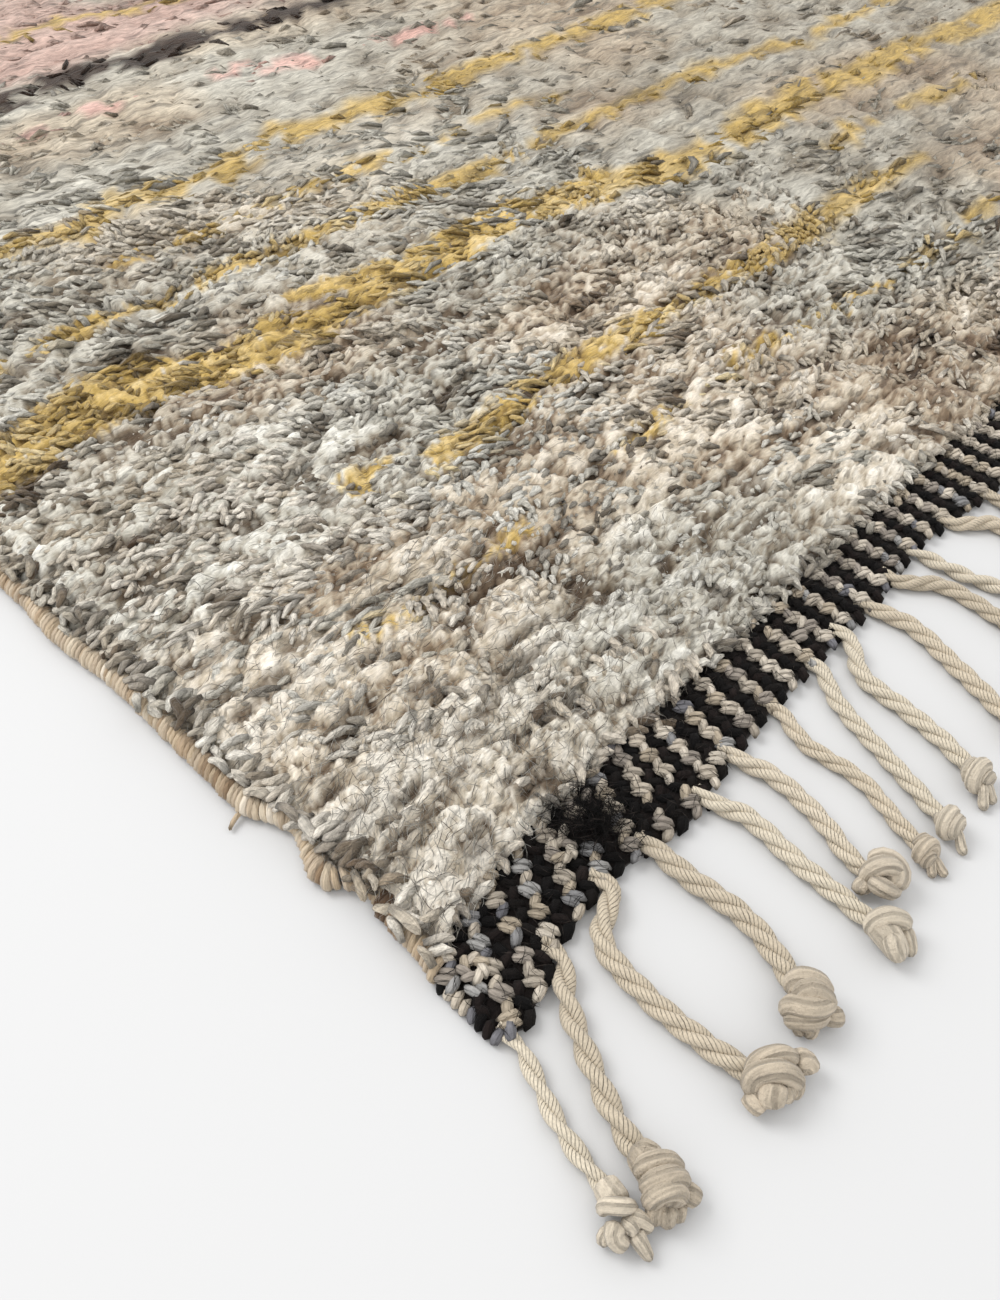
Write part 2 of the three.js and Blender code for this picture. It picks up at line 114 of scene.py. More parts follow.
# Dyed lines of the pattern: wool, how solid it is, and its middle and width along "across"
LINES = (
    ("mustard", 0.94, (
        (0, 470, 62), (60, 478, 62), (155, 487, 60), (248, 463, 42), (330, 482, 62),
        (405, 472, 50), (525, 475, 46), (638, 458, 50), (755, 431, 44), (922, 439, 46),
        (1135, 431, 44), (1348, 414, 42), (1700, 420, 40),
    )),
    ("mustard", 0.86, (
        (60, 575, 15), (116, 579, 18), (198, 580, 15), (237, 571, 14), (268, 564, 18),
        (298, 579, 16), (384, 574, 16), (432, 576, 22), (488, 574, 26), (571, 558, 28),
        (648, 562, 18), (711, 568, 22), (851, 566, 20), (980, 575, 8),
    )),
    ("mustard", 0.88, (
        (0, 728, 20), (204, 737, 18), (269, 721, 36), (307, 751, 40), (373, 741, 40),
        (398, 730, 36), (514, 759, 40), (579, 745, 40), (716, 742, 38), (913, 744, 36),
        (1097, 739, 34), (1400, 748, 30), (1700, 740, 26),
    )),
    ("mustard", 0.62, (
        (240, 650, 8), (262, 650, 15), (338, 647, 15), (397, 642, 18), (447, 648, 15), (506, 648, 20),
        (558, 636, 26), (604, 630, 11), (709, 646, 12), (800, 630, 6),
    )),
    ("mustard", 0.92, (
        (185, 289, 18), (200, 287, 26), (244, 275, 25), (290, 276, 25), (376, 280, 25),
        (463, 279, 22), (559, 277, 24), (634, 276, 26), (735, 279, 28), (805, 280, 20),
        (900, 272, 6),
    )),
    ("mustard", 0.5, (
        (104, 190, 10), (120, 188, 13), (138, 185, 7), (200, 184, 6), (250, 184, 7), (278, 186, 13),
        (315, 191, 11), (404, 195, 8), (487, 197, 13), (609, 187, 13), (754, 177, 15), (900, 182, 6),
    )),
    ("mustard", 0.7, ((840, 345, 6), (866, 347, 20), (935, 366, 26), (1013, 342, 26), (1181, 335, 18))),
    ("mustard", 0.7, ((900, 560, 6), (930, 558, 20), (1157, 535, 26), (1275, 549, 22), (1500, 552, 12))),
    ("mustard", 0.8, ((380, 1222, 8), (470, 1216, 24), (565, 1221, 30), (665, 1201, 26), (900, 1214, 20))),
    ("mustard", 0.85, (
        (200, 1492, 14), (620, 1508, 34), (1040, 1490, 40), (1480, 1506, 30), (1700, 1500, 24),
    )),
    ("mustard", 0.6, ((500, 1640, 6), (760, 1648, 22), (1200, 1636, 24), (1420, 1642, 8))),
    ("mustard", 0.9, ((0, 1905, 44), (420, 1922, 52), (900, 1898, 44), (1330, 1916, 50), (1700, 1908, 44))),
    ("mustard", 0.6, ((80, 2060, 12), (520, 2052, 22), (1000, 2066, 18), (1500, 2056, 20))),
    ("mustard", 0.85, ((0, 2218, 24), (500, 2226, 34), (1100, 2212, 36), (1700, 2222, 28))),
    ("brown", 0.97, (
        (0, 1040, 30), (367, 1031, 36), (448, 1050, 46), (550, 1032, 42), (602, 1050, 50),
        (674, 1051, 48), (779, 1050, 42), (817, 1038, 34), (1100, 1046, 36), (1420, 1036, 26),
        (1700, 1042, 20),
    )),
    ("brown", 0.5, ((500, 1345, 6), (760, 1352, 18), (1200, 1340, 22), (1500, 1350, 8))),
    ("pink", 0.35, ((300, 955, 20), (388, 950, 34), (560, 925, 40), (751, 891, 34), (900, 880, 16))),
    ("pink", 0.5, ((0, 1760, 60), (500, 1772, 90), (1000, 1750, 84), (1700, 1764, 60))),
)
PINK_GROUND = ((1056, 0), (1100, 1), (1300, 0.9), (1420, 0.35), (1500, 0))

# Wools from their deepest to their lightest lock, as sRGB hex
WOOLS = {
    "heather": ("54402E", "93806A", "C4B7A2", "E0D5C4", "EEE6D8"),
    "grey": ("574838", "8E8473", "BCB7AA", "D2CEC2", "E4E1D7"),
    "blush": ("7E6358", "A5877B", "BC9F93", "CAB0A4", "DAC6BA"),
    "mustard": ("6E5630", "A4894B", "C2A45F", "D3B87D", "E4D1A5"),
    "brown": ("160D07", "20130B", "2C1B10", "3A2517", "4C3322"),
    "pink": ("94685E", "BC8E82", "D3A99C", "E2C4B9", "EBD9CF"),
}
WOOL_STEPS = (0, 0.22, 0.5, 0.78, 1)
# Painted shade of the wool in the furrows where the locks part
FURROW_PAINTED_SHADE = "45382D"

# Shapes of a lock: how steeply the shaft leaves and the tip ends, in degrees above level,
# how far it curls sideways, its length and half its thickness in millimetres, and how
# much of the thickness is left at the tip
LOCK_SHAPES = (
    ("lying", 46, 2, 8, 19, 3.0, 0.55),
    ("curled_left", 44, 4, 58, 18, 2.9, 0.55),
    ("curled_right", 42, 6, -56, 18, 2.9, 0.55),
    ("standing", 78, 46, 20, 14, 3.1, 0.6),
    ("hooked", 66, -24, -22, 18, 2.9, 0.5),
    ("lump", 86, 62, 30, 11, 3.6, 0.68),
    ("brushed", 32, 0, 18, 25, 2.4, 0.4),
    ("swept", 54, 8, -36, 19, 2.8, 0.5),
)
LYING, CURLED_LEFT, CURLED_RIGHT, STANDING, HOOKED, LUMP, BRUSHED, SWEPT = range(len(LOCK_SHAPES))

# Zones of the pile, the finer the closer: how far they reach, the spacing of the locks,
# their size against the table above, and a lock's sides and rings
PILE_ZONES = (
    ("pile_corner", 230, 7.4, 0.84, 7, 4),
    ("pile_close", 480, 6.3, 0.8, 5, 3),
    ("pile_middle", 780, 6.9, 0.93, 4, 3),
    ("pile_beyond", 1150, 8.3, 1.22, 3, 3),
    ("pile_distant", 1500, 10.3, 1.5, 3, 3),
    ("pile_rest", 9000, 20, 1.8, 3, 2),
)
# Borders of the part that is seen closest: a place and the outward direction of each
CLOSE_BORDERS = (((563, 42), (0.43, -0.90)), ((158, 655), (-0.87, 0.49)), ((960, 885), (0.73, 0.68)))
OUTSIDE_WEIGHT = 4
# How light the ground's locks are by their distance from the near left corner
GROUND_DEPTHS = ((60, 1.08), (170, 1.0), (260, 0.88), (450, 0.72), (720, 0.68), (950, 0.53), (1500, 0.5))
# Locks are as dark as the dark line when their colour adds up to less than this
DARK_LOCK = 0.2
# Widest spacing and largest size of the locks that hang out over the rim
RIM_SPACING = 12
RIM_SIZE = 1.15


# Plain helpers

def hex_color(code):
    """An sRGB hex colour as linear RGB."""
    channels = [int(code[at:at + 2], 16) / 255 for at in (0, 2, 4)]
    return tuple(c / 12.92 if c <= 0.04045 else ((c + 0.055) / 1.055) ** 2.4 for c in channels)


def pick_shade(shades, rng):
    return np.array(hex_color(shades[rng.integers(len(shades))]))


def smooth_step(low, high, at):
    share = np.clip((at - low) / (high - low), 0, 1)
    return share * share * (3 - 2 * share)


def read_table(table, at, column=1):
    """A value between the rows of a table, eased from one row to the next."""
    rows = np.array(table, float)
    places, values = rows[:, 0], rows[:, column]
    held = np.clip(at, places[0], places[-1])
    row = np.clip(np.searchsorted(places, held, side="right") - 1, 0, len(places) - 2)
    share = smooth_step(0, 1, (held - places[row]) / (places[row + 1] - places[row]))
    return values[row] + (values[row + 1] - values[row]) * share


def waver(at, size, phase):
    """A slow hand-made waver, a few millimetres each way."""
    return size * (0.6 * np.sin(at / 148 + phase) + 0.4 * np.sin(at / 61 + 2.3 * phase))


def scatter(seed):
    """A number from 0 to 1 that looks random and is always the same for one seed."""
    wild = np.sin(np.asarray(seed, float) * 12.9898 + 4.1414) * 43758.5453
    return wild - np.floor(wild)


def soft_noise(across, along, grain, seed, stretch=1.0):
    """Smooth random values from -1 to 1, in bumps about "grain" long and "stretch" times as wide."""
    x = (np.asarray(across, float) + 400) / (grain * stretch)
    y = (np.asarray(along, float) + 400) / grain
    lattice = np.random.default_rng(seed).uniform(-1, 1, (int(x.max()) + 3, int(y.max()) + 3))
    column, row = x.astype(int), y.astype(int)
    right = smooth_step(0, 1, x - column)
    up = smooth_step(0, 1, y - row)
    low = lattice[column, row] * (1 - right) + lattice[column + 1, row] * right
    high = lattice[column, row + 1] * (1 - right) + lattice[column + 1, row + 1] * right
    return (low * (1 - up) + high * up) * 1.4


def run_lengths(path, power=1.0):
    """The way along a path from its start to every point, with each step raised to a power."""
    return np.concatenate([[0], np.cumsum(np.linalg.norm(np.diff(path, axis=0), axis=1) ** power)])


# The rug's outlines

def near_stray(across):
    table_end = NEAR_STRAY[-1][0]
    return np.where(across < table_end, read_table(NEAR_STRAY, across), waver(across - table_end, 4, 0))


def far_stray(across):
    return waver(across, 5, 1.9)


def near_inner(across):
    return BAND_WIDTH - 20 * np.exp(-across / 45) + waver(across, 3, 0)


def far_depth(across):
    return BAND_WIDTH - 2 + waver(across, 4, 4.1)


def far_inner(across):
    return RUG_LENGTH - far_depth(RUG_WIDTH - across)


def left_edge(along):
    table_end = LEFT_STRAY[-1][0]
    return np.where(along < table_end, read_table(LEFT_STRAY, along), waver(along - table_end, 4, 0) - 1)


def right_edge(along):
    return RUG_WIDTH + waver(along, 4, 2.6)


def left_rim(along):
    return SELVEDGE_WIDTH + waver(along, 1.5, 0.4)


def right_rim(along):
    return RUG_WIDTH - SELVEDGE_WIDTH + waver(along, 2.5, 2.6)


def rim_distance(across, along):
    """How far a place lies inside the rim of the pile."""
    sides = np.minimum(across - left_rim(along), right_rim(along) - across)
    ends = np.minimum(along - near_inner(across), far_inner(across) - along)
    return np.minimum(sides, ends)


def closeness(across, along):
    """Distance from the near left corner, counted longer outside the part that is seen closest."""
    outside = np.zeros(np.shape(across))
    for (at_across, at_along), (right, up) in CLOSE_BORDERS:
        outside = np.maximum(outside, (across - at_across) * right + (along - at_along) * up)
    return np.hypot(across, along) + OUTSIDE_WEIGHT * outside


def hummocks(across, along):
    """Height of the nap over the floor, as in the CAD."""
    swell = np.sin(across / 71 + 1.3 * np.sin(along / 157))
    ridge = np.sin(along / 54 + 1.7 * np.sin(across / 210) + 0.8)
    knoll = np.sin((across + along) / 93) * np.sin((across - 1.4 * along) / 118)
    return PILE_HEIGHT + PILE_LUMP * (0.35 * swell + 0.35 * ridge + 0.3 * knoll)


def on_rug(across, along, height):
    """Points of the rug in metres, in the CAD's frame."""
    across, along, height = np.broadcast_arrays(across, along, height)
    return np.stack([across - RUG_WIDTH / 2, along - RUG_LENGTH / 2, height], -1) * MM


def at_far_end(points):
    """Turns points that were laid out for the near end round to the far end."""
    return points * np.array([-1, -1, 1])


# Meshes

class Yarns:
    """Gathers tubes of yarn into one mesh with a UV map and a tint on every point."""

    def __init__(self):
        self.points, self.faces, self.uvs, self.tints = [], [], [], []
        self.count = 0

    def tube(self, path, radii, sides, tint=(1, 1, 1), lobe=0.0, twist=0.0, uv_length=None,
             ends=None, crimp=1.0):
        """A closed tube along a path. A lobe makes its section two-ply, twisted by turns.

        Its ends are flat, or come to the two points given as "ends". "crimp" swells or
        shrinks every point of the section.
        """
        rings = len(path)
        radii = np.broadcast_to(radii, rings)
        normals, binormals = carried_frames(path)
        angle = np.arange(sides) * 2 * math.pi / sides
        length = run_lengths(path)
        along = length / length[-1]
        phase = 2 * (angle[None, :] - twist * 2 * math.pi * along[:, None])
        reach = (radii[:, None] * (1 + lobe * np.cos(phase)) * crimp)[..., None]
        ring = path[:, None, :] + reach * (
            np.cos(angle)[None, :, None] * normals[:, None, :]
            + np.sin(angle)[None, :, None] * binormals[:, None, :]
        )
        first = self.count
        caps = path[[0, -1]] if ends is None else ends
        self.points.append(np.concatenate([ring.reshape(-1, 3), caps]))
        self.count += len(self.points[-1])
        self.tints.append(np.tile(np.asarray(tint, float), (self.count - first, 1)))
        start, end = self.count - 2, self.count - 1
        v = along if uv_length is None else length * uv_length
        u = np.arange(sides + 1) / sides
        around = [(side, (side + 1) % sides) for side in range(sides)]
        for row in range(rings - 1):
            here, there = first + row * sides, first + (row + 1) * sides
            for side, after in around:
                self.faces.append((here + side, here + after, there + after, there + side))
                self.uvs += [(u[side], v[row]), (u[side + 1], v[row]),
                             (u[side + 1], v[row + 1]), (u[side], v[row + 1])]
        last = first + (rings - 1) * sides
        for side, after in around:
            self.faces += [(start, first + after, first + side), (end, last + side, last + after)]
            self.uvs += [(u[side], v[0]), (u[side + 1], v[0]), (u[side], v[0]),
                         (u[side], v[-1]), (u[side], v[-1]), (u[side + 1], v[-1])]

    def build(self, name, material):
        return make_object(name, np.concatenate(self.points), self.faces, self.uvs,
                           np.concatenate(self.tints), material)


def yarn_shape(name, path, half, sides, ends=None, **look):
    """One tube in millimetres as an object, without a tint, to be laid many times."""
    yarn = Yarns()
    yarn.tube(path * MM, half * MM, sides, ends=None if ends is None else np.array(ends) * MM, **look)
    return make_object(name, yarn.points[0], yarn.faces, yarn.uvs)


def carried_frames(path):
    """Normals and binormals along a path, carried on without twist."""
    tangents = np.gradient(path, axis=0)
    tangents /= np.linalg.norm(tangents, axis=1)[:, None]
    side = np.cross(tangents[0], (0, 0, 1))
    if np.linalg.norm(side) < 0.05:
        side = np.array([0, 1, 0]) - tangents[0] * tangents[0][1]
    normals = [side / np.linalg.norm(side)]
    for tangent in tangents[1:]:
        carried = normals[-1] - tangent * np.dot(tangent, normals[-1])
        normals.append(carried / np.linalg.norm(carried))
    normals = np.array(normals)
    return normals, np.cross(tangents, normals)


def with_alpha(tints):
    return np.concatenate([tints, np.ones((len(tints), 1))], axis=1)


def link_object(name, data):
    made = bpy.data.objects.new(name, data)
    bpy.context.scene.collection.objects.link(made)
    return made


def make_object(name, points, faces, uvs=None, tints=None, material=None):
    """A smooth mesh object from plain lists, with a UV map and a tint if they are given."""
    mesh = bpy.data.meshes.new(name)
    mesh.from_pydata(points, [], faces)
    mesh.polygons.foreach_set("use_smooth", np.ones(len(mesh.polygons), bool))
    if uvs is not None:
        mesh.uv_layers.new(name="UVMap").data.foreach_set("uv", np.array(uvs, float).ravel())
    if tints is not None:
        layer = mesh.color_attributes.new("tint", "FLOAT_COLOR", "POINT")
        layer.data.foreach_set("color", with_alpha(tints).ravel())
    if material:
        mesh.materials.append(material)
    return link_object(name, mesh)


def grid_faces(rows, columns):
    """The faces of a grid of points, and the numbers of the points round its border."""
    number = np.arange(rows * columns).reshape(rows, columns)
    quads = np.stack([number[:-1, :-1], number[:-1, 1:], number[1:, 1:], number[1:, :-1]], -1)
    border = np.concatenate([number[0], number[1:, -1], number[-1, -2::-1], number[-2:0:-1, 0]])
    return quads.reshape(-1, 4).tolist(), border.tolist()


def finish_piece(piece, node):
    """Hangs a finished piece under the root body and hides the CAD part that it stands for."""
    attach(piece, "root")
    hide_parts(node)


# Nodes

def add_node(tree, kind, inputs=None, gives=0, **settings):
    """Adds a node with its settings and gives one of its outputs.

    An input is given a value, or a socket that it is linked to.
    """
    node = tree.nodes.new(kind)
    for setting, value in settings.items():
        setattr(node, setting, value)
    for socket, value in (inputs or {}).items():
        if isinstance(value, bpy.types.NodeSocket):
            tree.links.new(value, node.inputs[socket])
        else:
            node.inputs[socket].default_value = value
    return node.outputs[gives] if node.outputs else None


def math_node(tree, operation, *values, kind="ShaderNodeMath"):
    return add_node(tree, kind, dict(enumerate(values)), operation=operation)


def new_material(name, **inputs):
    """A material with one shader, and the shader. Its inputs are named with _ for a space."""
    material = bpy.data.materials.new(name)
    material.use_nodes = True
    material.node_tree.nodes.clear()
    inputs = {socket.replace("_", " "): value for socket, value in inputs.items()}
    surface = add_node(material.node_tree, "ShaderNodeBsdfPrincipled", inputs)
    add_node(material.node_tree, "ShaderNodeOutputMaterial", {"Surface": surface})
    return material, surface.node


class WoolShader:
    """A wool material in the making. Each method adds nodes and gives the socket of their result."""

    def __init__(self, name, roughness=0.92, sheen=0.3):
        # Wool hardly shines, and its loose fibres catch a soft light at the edges
        self.material, self.shader = new_material(
            name, Roughness=roughness, IOR=1.5, Specular_IOR_Level=0.18, Sheen_Weight=sheen,
            Sheen_Roughness=0.45, Sheen_Tint=(1, 0.97, 0.92, 1))
        self.tree = self.material.node_tree
        self.tint = add_node(self.tree, "ShaderNodeAttribute", attribute_name="tint")
        self.place = add_node(self.tree, "ShaderNodeTexCoord", gives="Object")

    def own_uv(self):
        """The piece's own UV map, and its way round the yarn and along it."""
        uv = add_node(self.tree, "ShaderNodeUVMap", uv_map="UVMap")
        parts = add_node(self.tree, "ShaderNodeSeparateXYZ", {0: uv}).node.outputs
        return uv, parts["X"], parts["Y"]

    def math(self, operation, *values):
        return math_node(self.tree, operation, *values)

    def vector(self, operation, *values):
        return math_node(self.tree, operation, *values, kind="ShaderNodeVectorMath")

    def noise(self, place, scale, detail=2.0, roughness=0.5, gives="Fac"):
        return add_node(self.tree, "ShaderNodeTexNoise", {"Vector": place, "Scale": scale,
                        "Detail": detail, "Roughness": roughness}, gives=gives)

    def remap(self, value, low, high, to_low, to_high, ease="LINEAR"):
        return add_node(self.tree, "ShaderNodeMapRange", {"Value": value, "From Min": low, "From Max": high,
                        "To Min": to_low, "To Max": to_high}, interpolation_type=ease)

    def ramp(self, value, stops):
        """Grey shades between stops."""
        result = add_node(self.tree, "ShaderNodeValToRGB", {0: value})
        ramp = result.node.color_ramp
        ramp.interpolation = "EASE"
        for number, (at, shade) in enumerate(stops):
            stop = ramp.elements[number] if number < 2 else ramp.elements.new(at)
            stop.position = at
            stop.color = (shade, shade, shade, 1)
        return result

    def combed(self, scale, bend, stretch):
        """Places on the piece, bent a little and stretched along the nap."""
        bent = self.noise(self.place, scale, gives="Color")
        bent = self.vector("MULTIPLY_ADD", bent, (bend, bend, 0), self.place)
        return self.vector("MULTIPLY", bent, stretch)

    def finish(self, shade, relief, strength, depth):
        """The tint, shaded, with a relief that is so many millimetres deep."""
        color = add_node(self.tree, "ShaderNodeVectorMath", {0: self.tint, "Scale": shade}, operation="SCALE")
        bumped = add_node(self.tree, "ShaderNodeBump", {"Height": relief, "Strength": strength,
                          "Distance": depth * MM})
        self.tree.links.new(color, self.shader.inputs["Base Color"])
        self.tree.links.new(bumped, self.shader.inputs["Normal"])
        return self.material


# Size of the felted lumps on a yarn, in millimetres
FELT_GRAIN = 2.4
# Handspun wool in loose two-ply locks: matt, finely streaked, painted darker towards the foot as the
# shadow there and lightest at the pale fuzzy tip, with loose fibres brushed over from lock to lock
PILE_WOOL = dict(name="handspun pile wool", fibres=18, plies=2, lean=7.5, sheen=0.2, brushed=0.26,
                 painted_shade_along=((0, 0.48), (0.5, 0.84), (0.92, 1.04)), groove_painted_shade=0.8, bump=0.8)
# Twined wool yarn, spun harder than the pile: clear fibre lines, and ends painted dark as the shade where it
# dips
BAND_WOOL = dict(name="twined band wool", fibres=16, plies=4, lean=3.0, sheen=0.02,
                 painted_shade_along=((0, 0.42), (0.22, 1), (0.8, 1), (1, 0.42)), groove_painted_shade=0.8, bump=0.35)
# Overcast wool, wound tightly round the edge warps: smooth turns, their ends painted dark as the shade
# between them
EDGE_WOOL = dict(name="overcast edge wool", fibres=16, plies=2, lean=9.0, sheen=0.3,
                 painted_shade_along=((0, 0.55), (0.3, 1), (0.72, 1), (1, 0.55)), groove_painted_shade=0.85, bump=0.25)
# The warp yarn of the cords, teased loose and worn in the knots: soft folds with fine fibre lines, ends
# painted a little darker as shade
KNOT_WOOL = dict(name="knotted warp yarn", fibres=16, plies=5, lean=1.5, sheen=0.2,
                 painted_shade_along=((0, 0.82), (0.2, 1), (0.8, 1), (1, 0.78)), groove_painted_shade=0.7, bump=0.5)


def yarn_material(name, fibres, plies, lean, painted_shade_along, groove_painted_shade, bump, sheen, brushed=0.0):
    """Wool yarn on the piece's own UV map, u round the yarn and v along it.

    "fibres" streaks run round the yarn once, "plies" grooves lean along it and are painted darker
    as the shade in them, and the shades along v darken it as painted shade where it lies under other
    yarn. "brushed" adds streaks of loose fibre that run across from lock to lock.
    """
    wool = WoolShader(name, sheen=sheen)
    uv, around, onward = wool.own_uv()
    # Streaks of single fibres: narrow round the yarn, long along it, and different on
    # every yarn because the noise also moves on slowly through space
    stretched = wool.vector("MULTIPLY", uv, (fibres, 2.2, 0))
    drift = wool.vector("MULTIPLY", wool.place, (70, 70, 70))
    streak = wool.noise(wool.vector("ADD", stretched, drift), 1.0, 3.0, 0.65)
    # Grooves between the plies lean round the yarn; they are painted darker as the shade in them
    angle = wool.math("MULTIPLY_ADD", onward, lean, wool.math("MULTIPLY", around, plies * 2 * math.pi))
    groove = wool.remap(wool.math("SINE", angle), -1, -0.35, 0, 1, "SMOOTHSTEP")
    shade = wool.math("MULTIPLY", wool.remap(groove, 0, 1, groove_painted_shade, 1),
                      wool.remap(streak, 0.32, 0.68, 0.68, 1.16))
    # Painted shade along the yarn: darker at the ends that lie under other yarn
    shade = wool.math("MULTIPLY", shade, wool.ramp(onward, painted_shade_along))
    if brushed:
        loose = wool.noise(wool.combed(28.0, 0.02, (110, 420, 260)), 1.0, 3.0, 0.6)
        shade = wool.math("MULTIPLY", shade, wool.remap(loose, 0.34, 0.66, 1 - brushed, 1 + 0.6 * brushed))
    felting = wool.noise(wool.place, 1 / (FELT_GRAIN * MM), 3.0, 0.65)
    relief = wool.math("MULTIPLY_ADD", felting, 3.4, wool.math("MULTIPLY_ADD", streak, 1.1, groove))
    return wool.finish(shade, relief, 1.0, bump)


def cord_wool():
    """Undyed warp yarn, re-plied by hand into cords: straw-cream, with the thin lines between its yarns
    painted dark as the shade in the grooves.
    """
    wool = WoolShader("plied warp cord", roughness=0.85, sheen=0.2)
    _, around, onward = wool.own_uv()
    # Six thin yarns wound round every ply at about 60 degrees, one line every 2.1 millimetres
    wound = wool.math("MULTIPLY_ADD", onward, -950.0, wool.math("MULTIPLY", around, 12.0))
    wobbly = wool.math("MULTIPLY_ADD", wool.noise(wool.place, 160.0), 1.6, wound)
    line = wool.remap(wool.math("PINGPONG", wobbly, 1.0), 0.02, 0.3, 0, 1, "SMOOTHSTEP")
    fine = wool.noise(wool.place, 900.0, 3.0, 0.7)
    # The painted shade of the lines is deeper in some places than in others
    darkest_groove_shade = wool.remap(wool.noise(wool.place, 230.0), 0.35, 0.65, 0.2, 0.82)
    shade = wool.math("MULTIPLY", wool.remap(line, 0, 1, darkest_groove_shade, 1), wool.remap(fine, 0.3, 0.7, 0.74, 1.08))
    return wool.finish(shade, wool.math("MULTIPLY_ADD", fine, 0.35, line), 0.8, 0.45)


def felted_wool(name, grain, contrast, bump):
    """Packed and felted wool: dull, with short matted fibres over the tint of every point."""
    wool = WoolShader(name, roughness=1.0, sheen=0.2)
    combed = wool.combed(60.0, 0.012, (0.32, 1.25, 0.8))
    matted = wool.noise(combed, 1 / (grain * MM), 4.0, 0.7)
    # Short strokes along the nap where the fibres part, painted dark as the shade in the partings
    parting_shade = wool.remap(wool.noise(combed, 0.36 / (grain * MM)), 0.55, 0.68, 1, 0.55, "SMOOTHSTEP")
    shade = wool.math("MULTIPLY", wool.remap(matted, 0.33, 0.67, 1 - contrast, 1 + 0.5 * contrast), parting_shade)
    return wool.finish(shade, wool.math("MULTIPLY_ADD", parting_shade, 0.5, matted), 1.0, bump)


# Laying yarn

def yarn_tree():
    """A tree that lays one of several yarn shapes at every point, as the point's attributes say."""
    tree = bpy.data.node_groups.new("lay_yarn", "GeometryNodeTree")
    for name, kind in (("Places", "Geometry"), ("Shapes", "Collection"), ("Size", "Float"),
                       ("Size spread", "Float"), ("Turn spread", "Float"), ("Seed", "Int"),
                       ("Wool", "Material")):
        tree.interface.new_socket(name, in_out="INPUT", socket_type="NodeSocket" + kind)
    tree.interface.new_socket("Yarn", in_out="OUTPUT", socket_type="NodeSocketGeometry")
    given = add_node(tree, "NodeGroupInput").node.outputs
    shapes = add_node(tree, "GeometryNodeCollectionInfo", {"Collection": given["Shapes"],
                      "Separate Children": True, "Reset Children": True})
    kind, turn, size = (
        add_node(tree, "GeometryNodeInputNamedAttribute", {"Name": name}, data_type=data_type)
        for name, data_type in (("kind", "INT"), ("turn", "FLOAT_VECTOR"), ("size", "FLOAT")))
    smallest = math_node(tree, "SUBTRACT", 1.0, given["Size spread"])
    largest = math_node(tree, "ADD", 1.0, given["Size spread"])
    spread = add_node(tree, "FunctionNodeRandomValue", {2: smallest, 3: largest, "Seed": given["Seed"]},
                      gives=1, data_type="FLOAT")
    scale = math_node(tree, "MULTIPLY", math_node(tree, "MULTIPLY", size, spread), given["Size"])
    back = math_node(tree, "MULTIPLY", given["Turn spread"], -1.0)
    jitter = add_node(tree, "FunctionNodeRandomValue", {0: back, 1: given["Turn spread"],
                      "Seed": given["Seed"]}, data_type="FLOAT_VECTOR")
    turned = math_node(tree, "ADD", turn, jitter, kind="ShaderNodeVectorMath")
    rotation = add_node(tree, "FunctionNodeEulerToRotation", {0: turned})
    laid = add_node(tree, "GeometryNodeInstanceOnPoints", {
        "Points": given["Places"], "Instance": shapes, "Pick Instance": True,
        "Instance Index": kind, "Rotation": rotation, "Scale": scale})
    real = add_node(tree, "GeometryNodeRealizeInstances", {"Geometry": laid})
    dressed = add_node(tree, "GeometryNodeSetMaterial", {"Geometry": real, "Material": given["Wool"]})
    add_node(tree, "NodeGroupOutput", {"Yarn": dressed})
    return tree


def lay_yarn(name, places, turns, sizes, kinds, tints, shapes, material, spread=0.12, jitter=6, seed=1):
    """Lays yarn shapes at places, uses the shapes up and returns one plain mesh object.

    "kinds" are numbers of shapes in the order of their names, which is the order of the list.
    """
    tree = bpy.data.node_groups.get("lay_yarn") or yarn_tree()
    collection = bpy.data.collections.new(name + "_shapes")
    for shape in shapes:
        bpy.context.scene.collection.objects.unlink(shape)
        collection.objects.link(shape)
    mesh = bpy.data.meshes.new(name + "_places")
    mesh.from_pydata(places, [], [])
    for attribute, kind, field, values in (
        ("turn", "FLOAT_VECTOR", "vector", turns), ("size", "FLOAT", "value", sizes),
        ("kind", "INT", "value", np.asarray(kinds, np.int32)),
        ("tint", "FLOAT_COLOR", "color", with_alpha(tints)),
    ):
        layer = mesh.attributes.new(attribute, kind, "POINT")
        layer.data.foreach_set(field, np.ascontiguousarray(values).ravel())
    holder = link_object(name, mesh)
    modifier = holder.modifiers.new("lay_yarn", "NODES")
    modifier.node_group = tree
    sockets = {item.name: item.identifier for item in tree.interface.items_tree if item.in_out == "INPUT"}
    for socket, value in (("Shapes", collection), ("Size", 1.0), ("Size spread", spread),
                          ("Turn spread", math.radians(jitter)), ("Seed", seed), ("Wool", material)):
        modifier[sockets[socket]] = value
    depsgraph = bpy.context.evaluated_depsgraph_get()
    laid = bpy.data.meshes.new_from_object(holder.evaluated_get(depsgraph), depsgraph=depsgraph)
    laid.name = name
    if len(laid.polygons) == 0:
        raise RuntimeError(f"no yarn was laid for {name}")
    holder.modifiers.clear()
    holder.data = laid
    bpy.data.meshes.remove(mesh)
    for shape in shapes:
        bpy.data.meshes.remove(shape.data)
    bpy.data.collections.remove(collection)
    return holder


def keep_between(piece, lowest, highest):
    """Presses what reaches too low or too high back, such as a long lock's root on the weave."""
    points = np.empty(len(piece.data.vertices) * 3)
    piece.data.vertices.foreach_get("co", points)
    points[2::3] = np.clip(points[2::3], lowest * MM, highest * MM)
    piece.data.vertices.foreach_set("co", points)
    piece.data.update()


# The pile

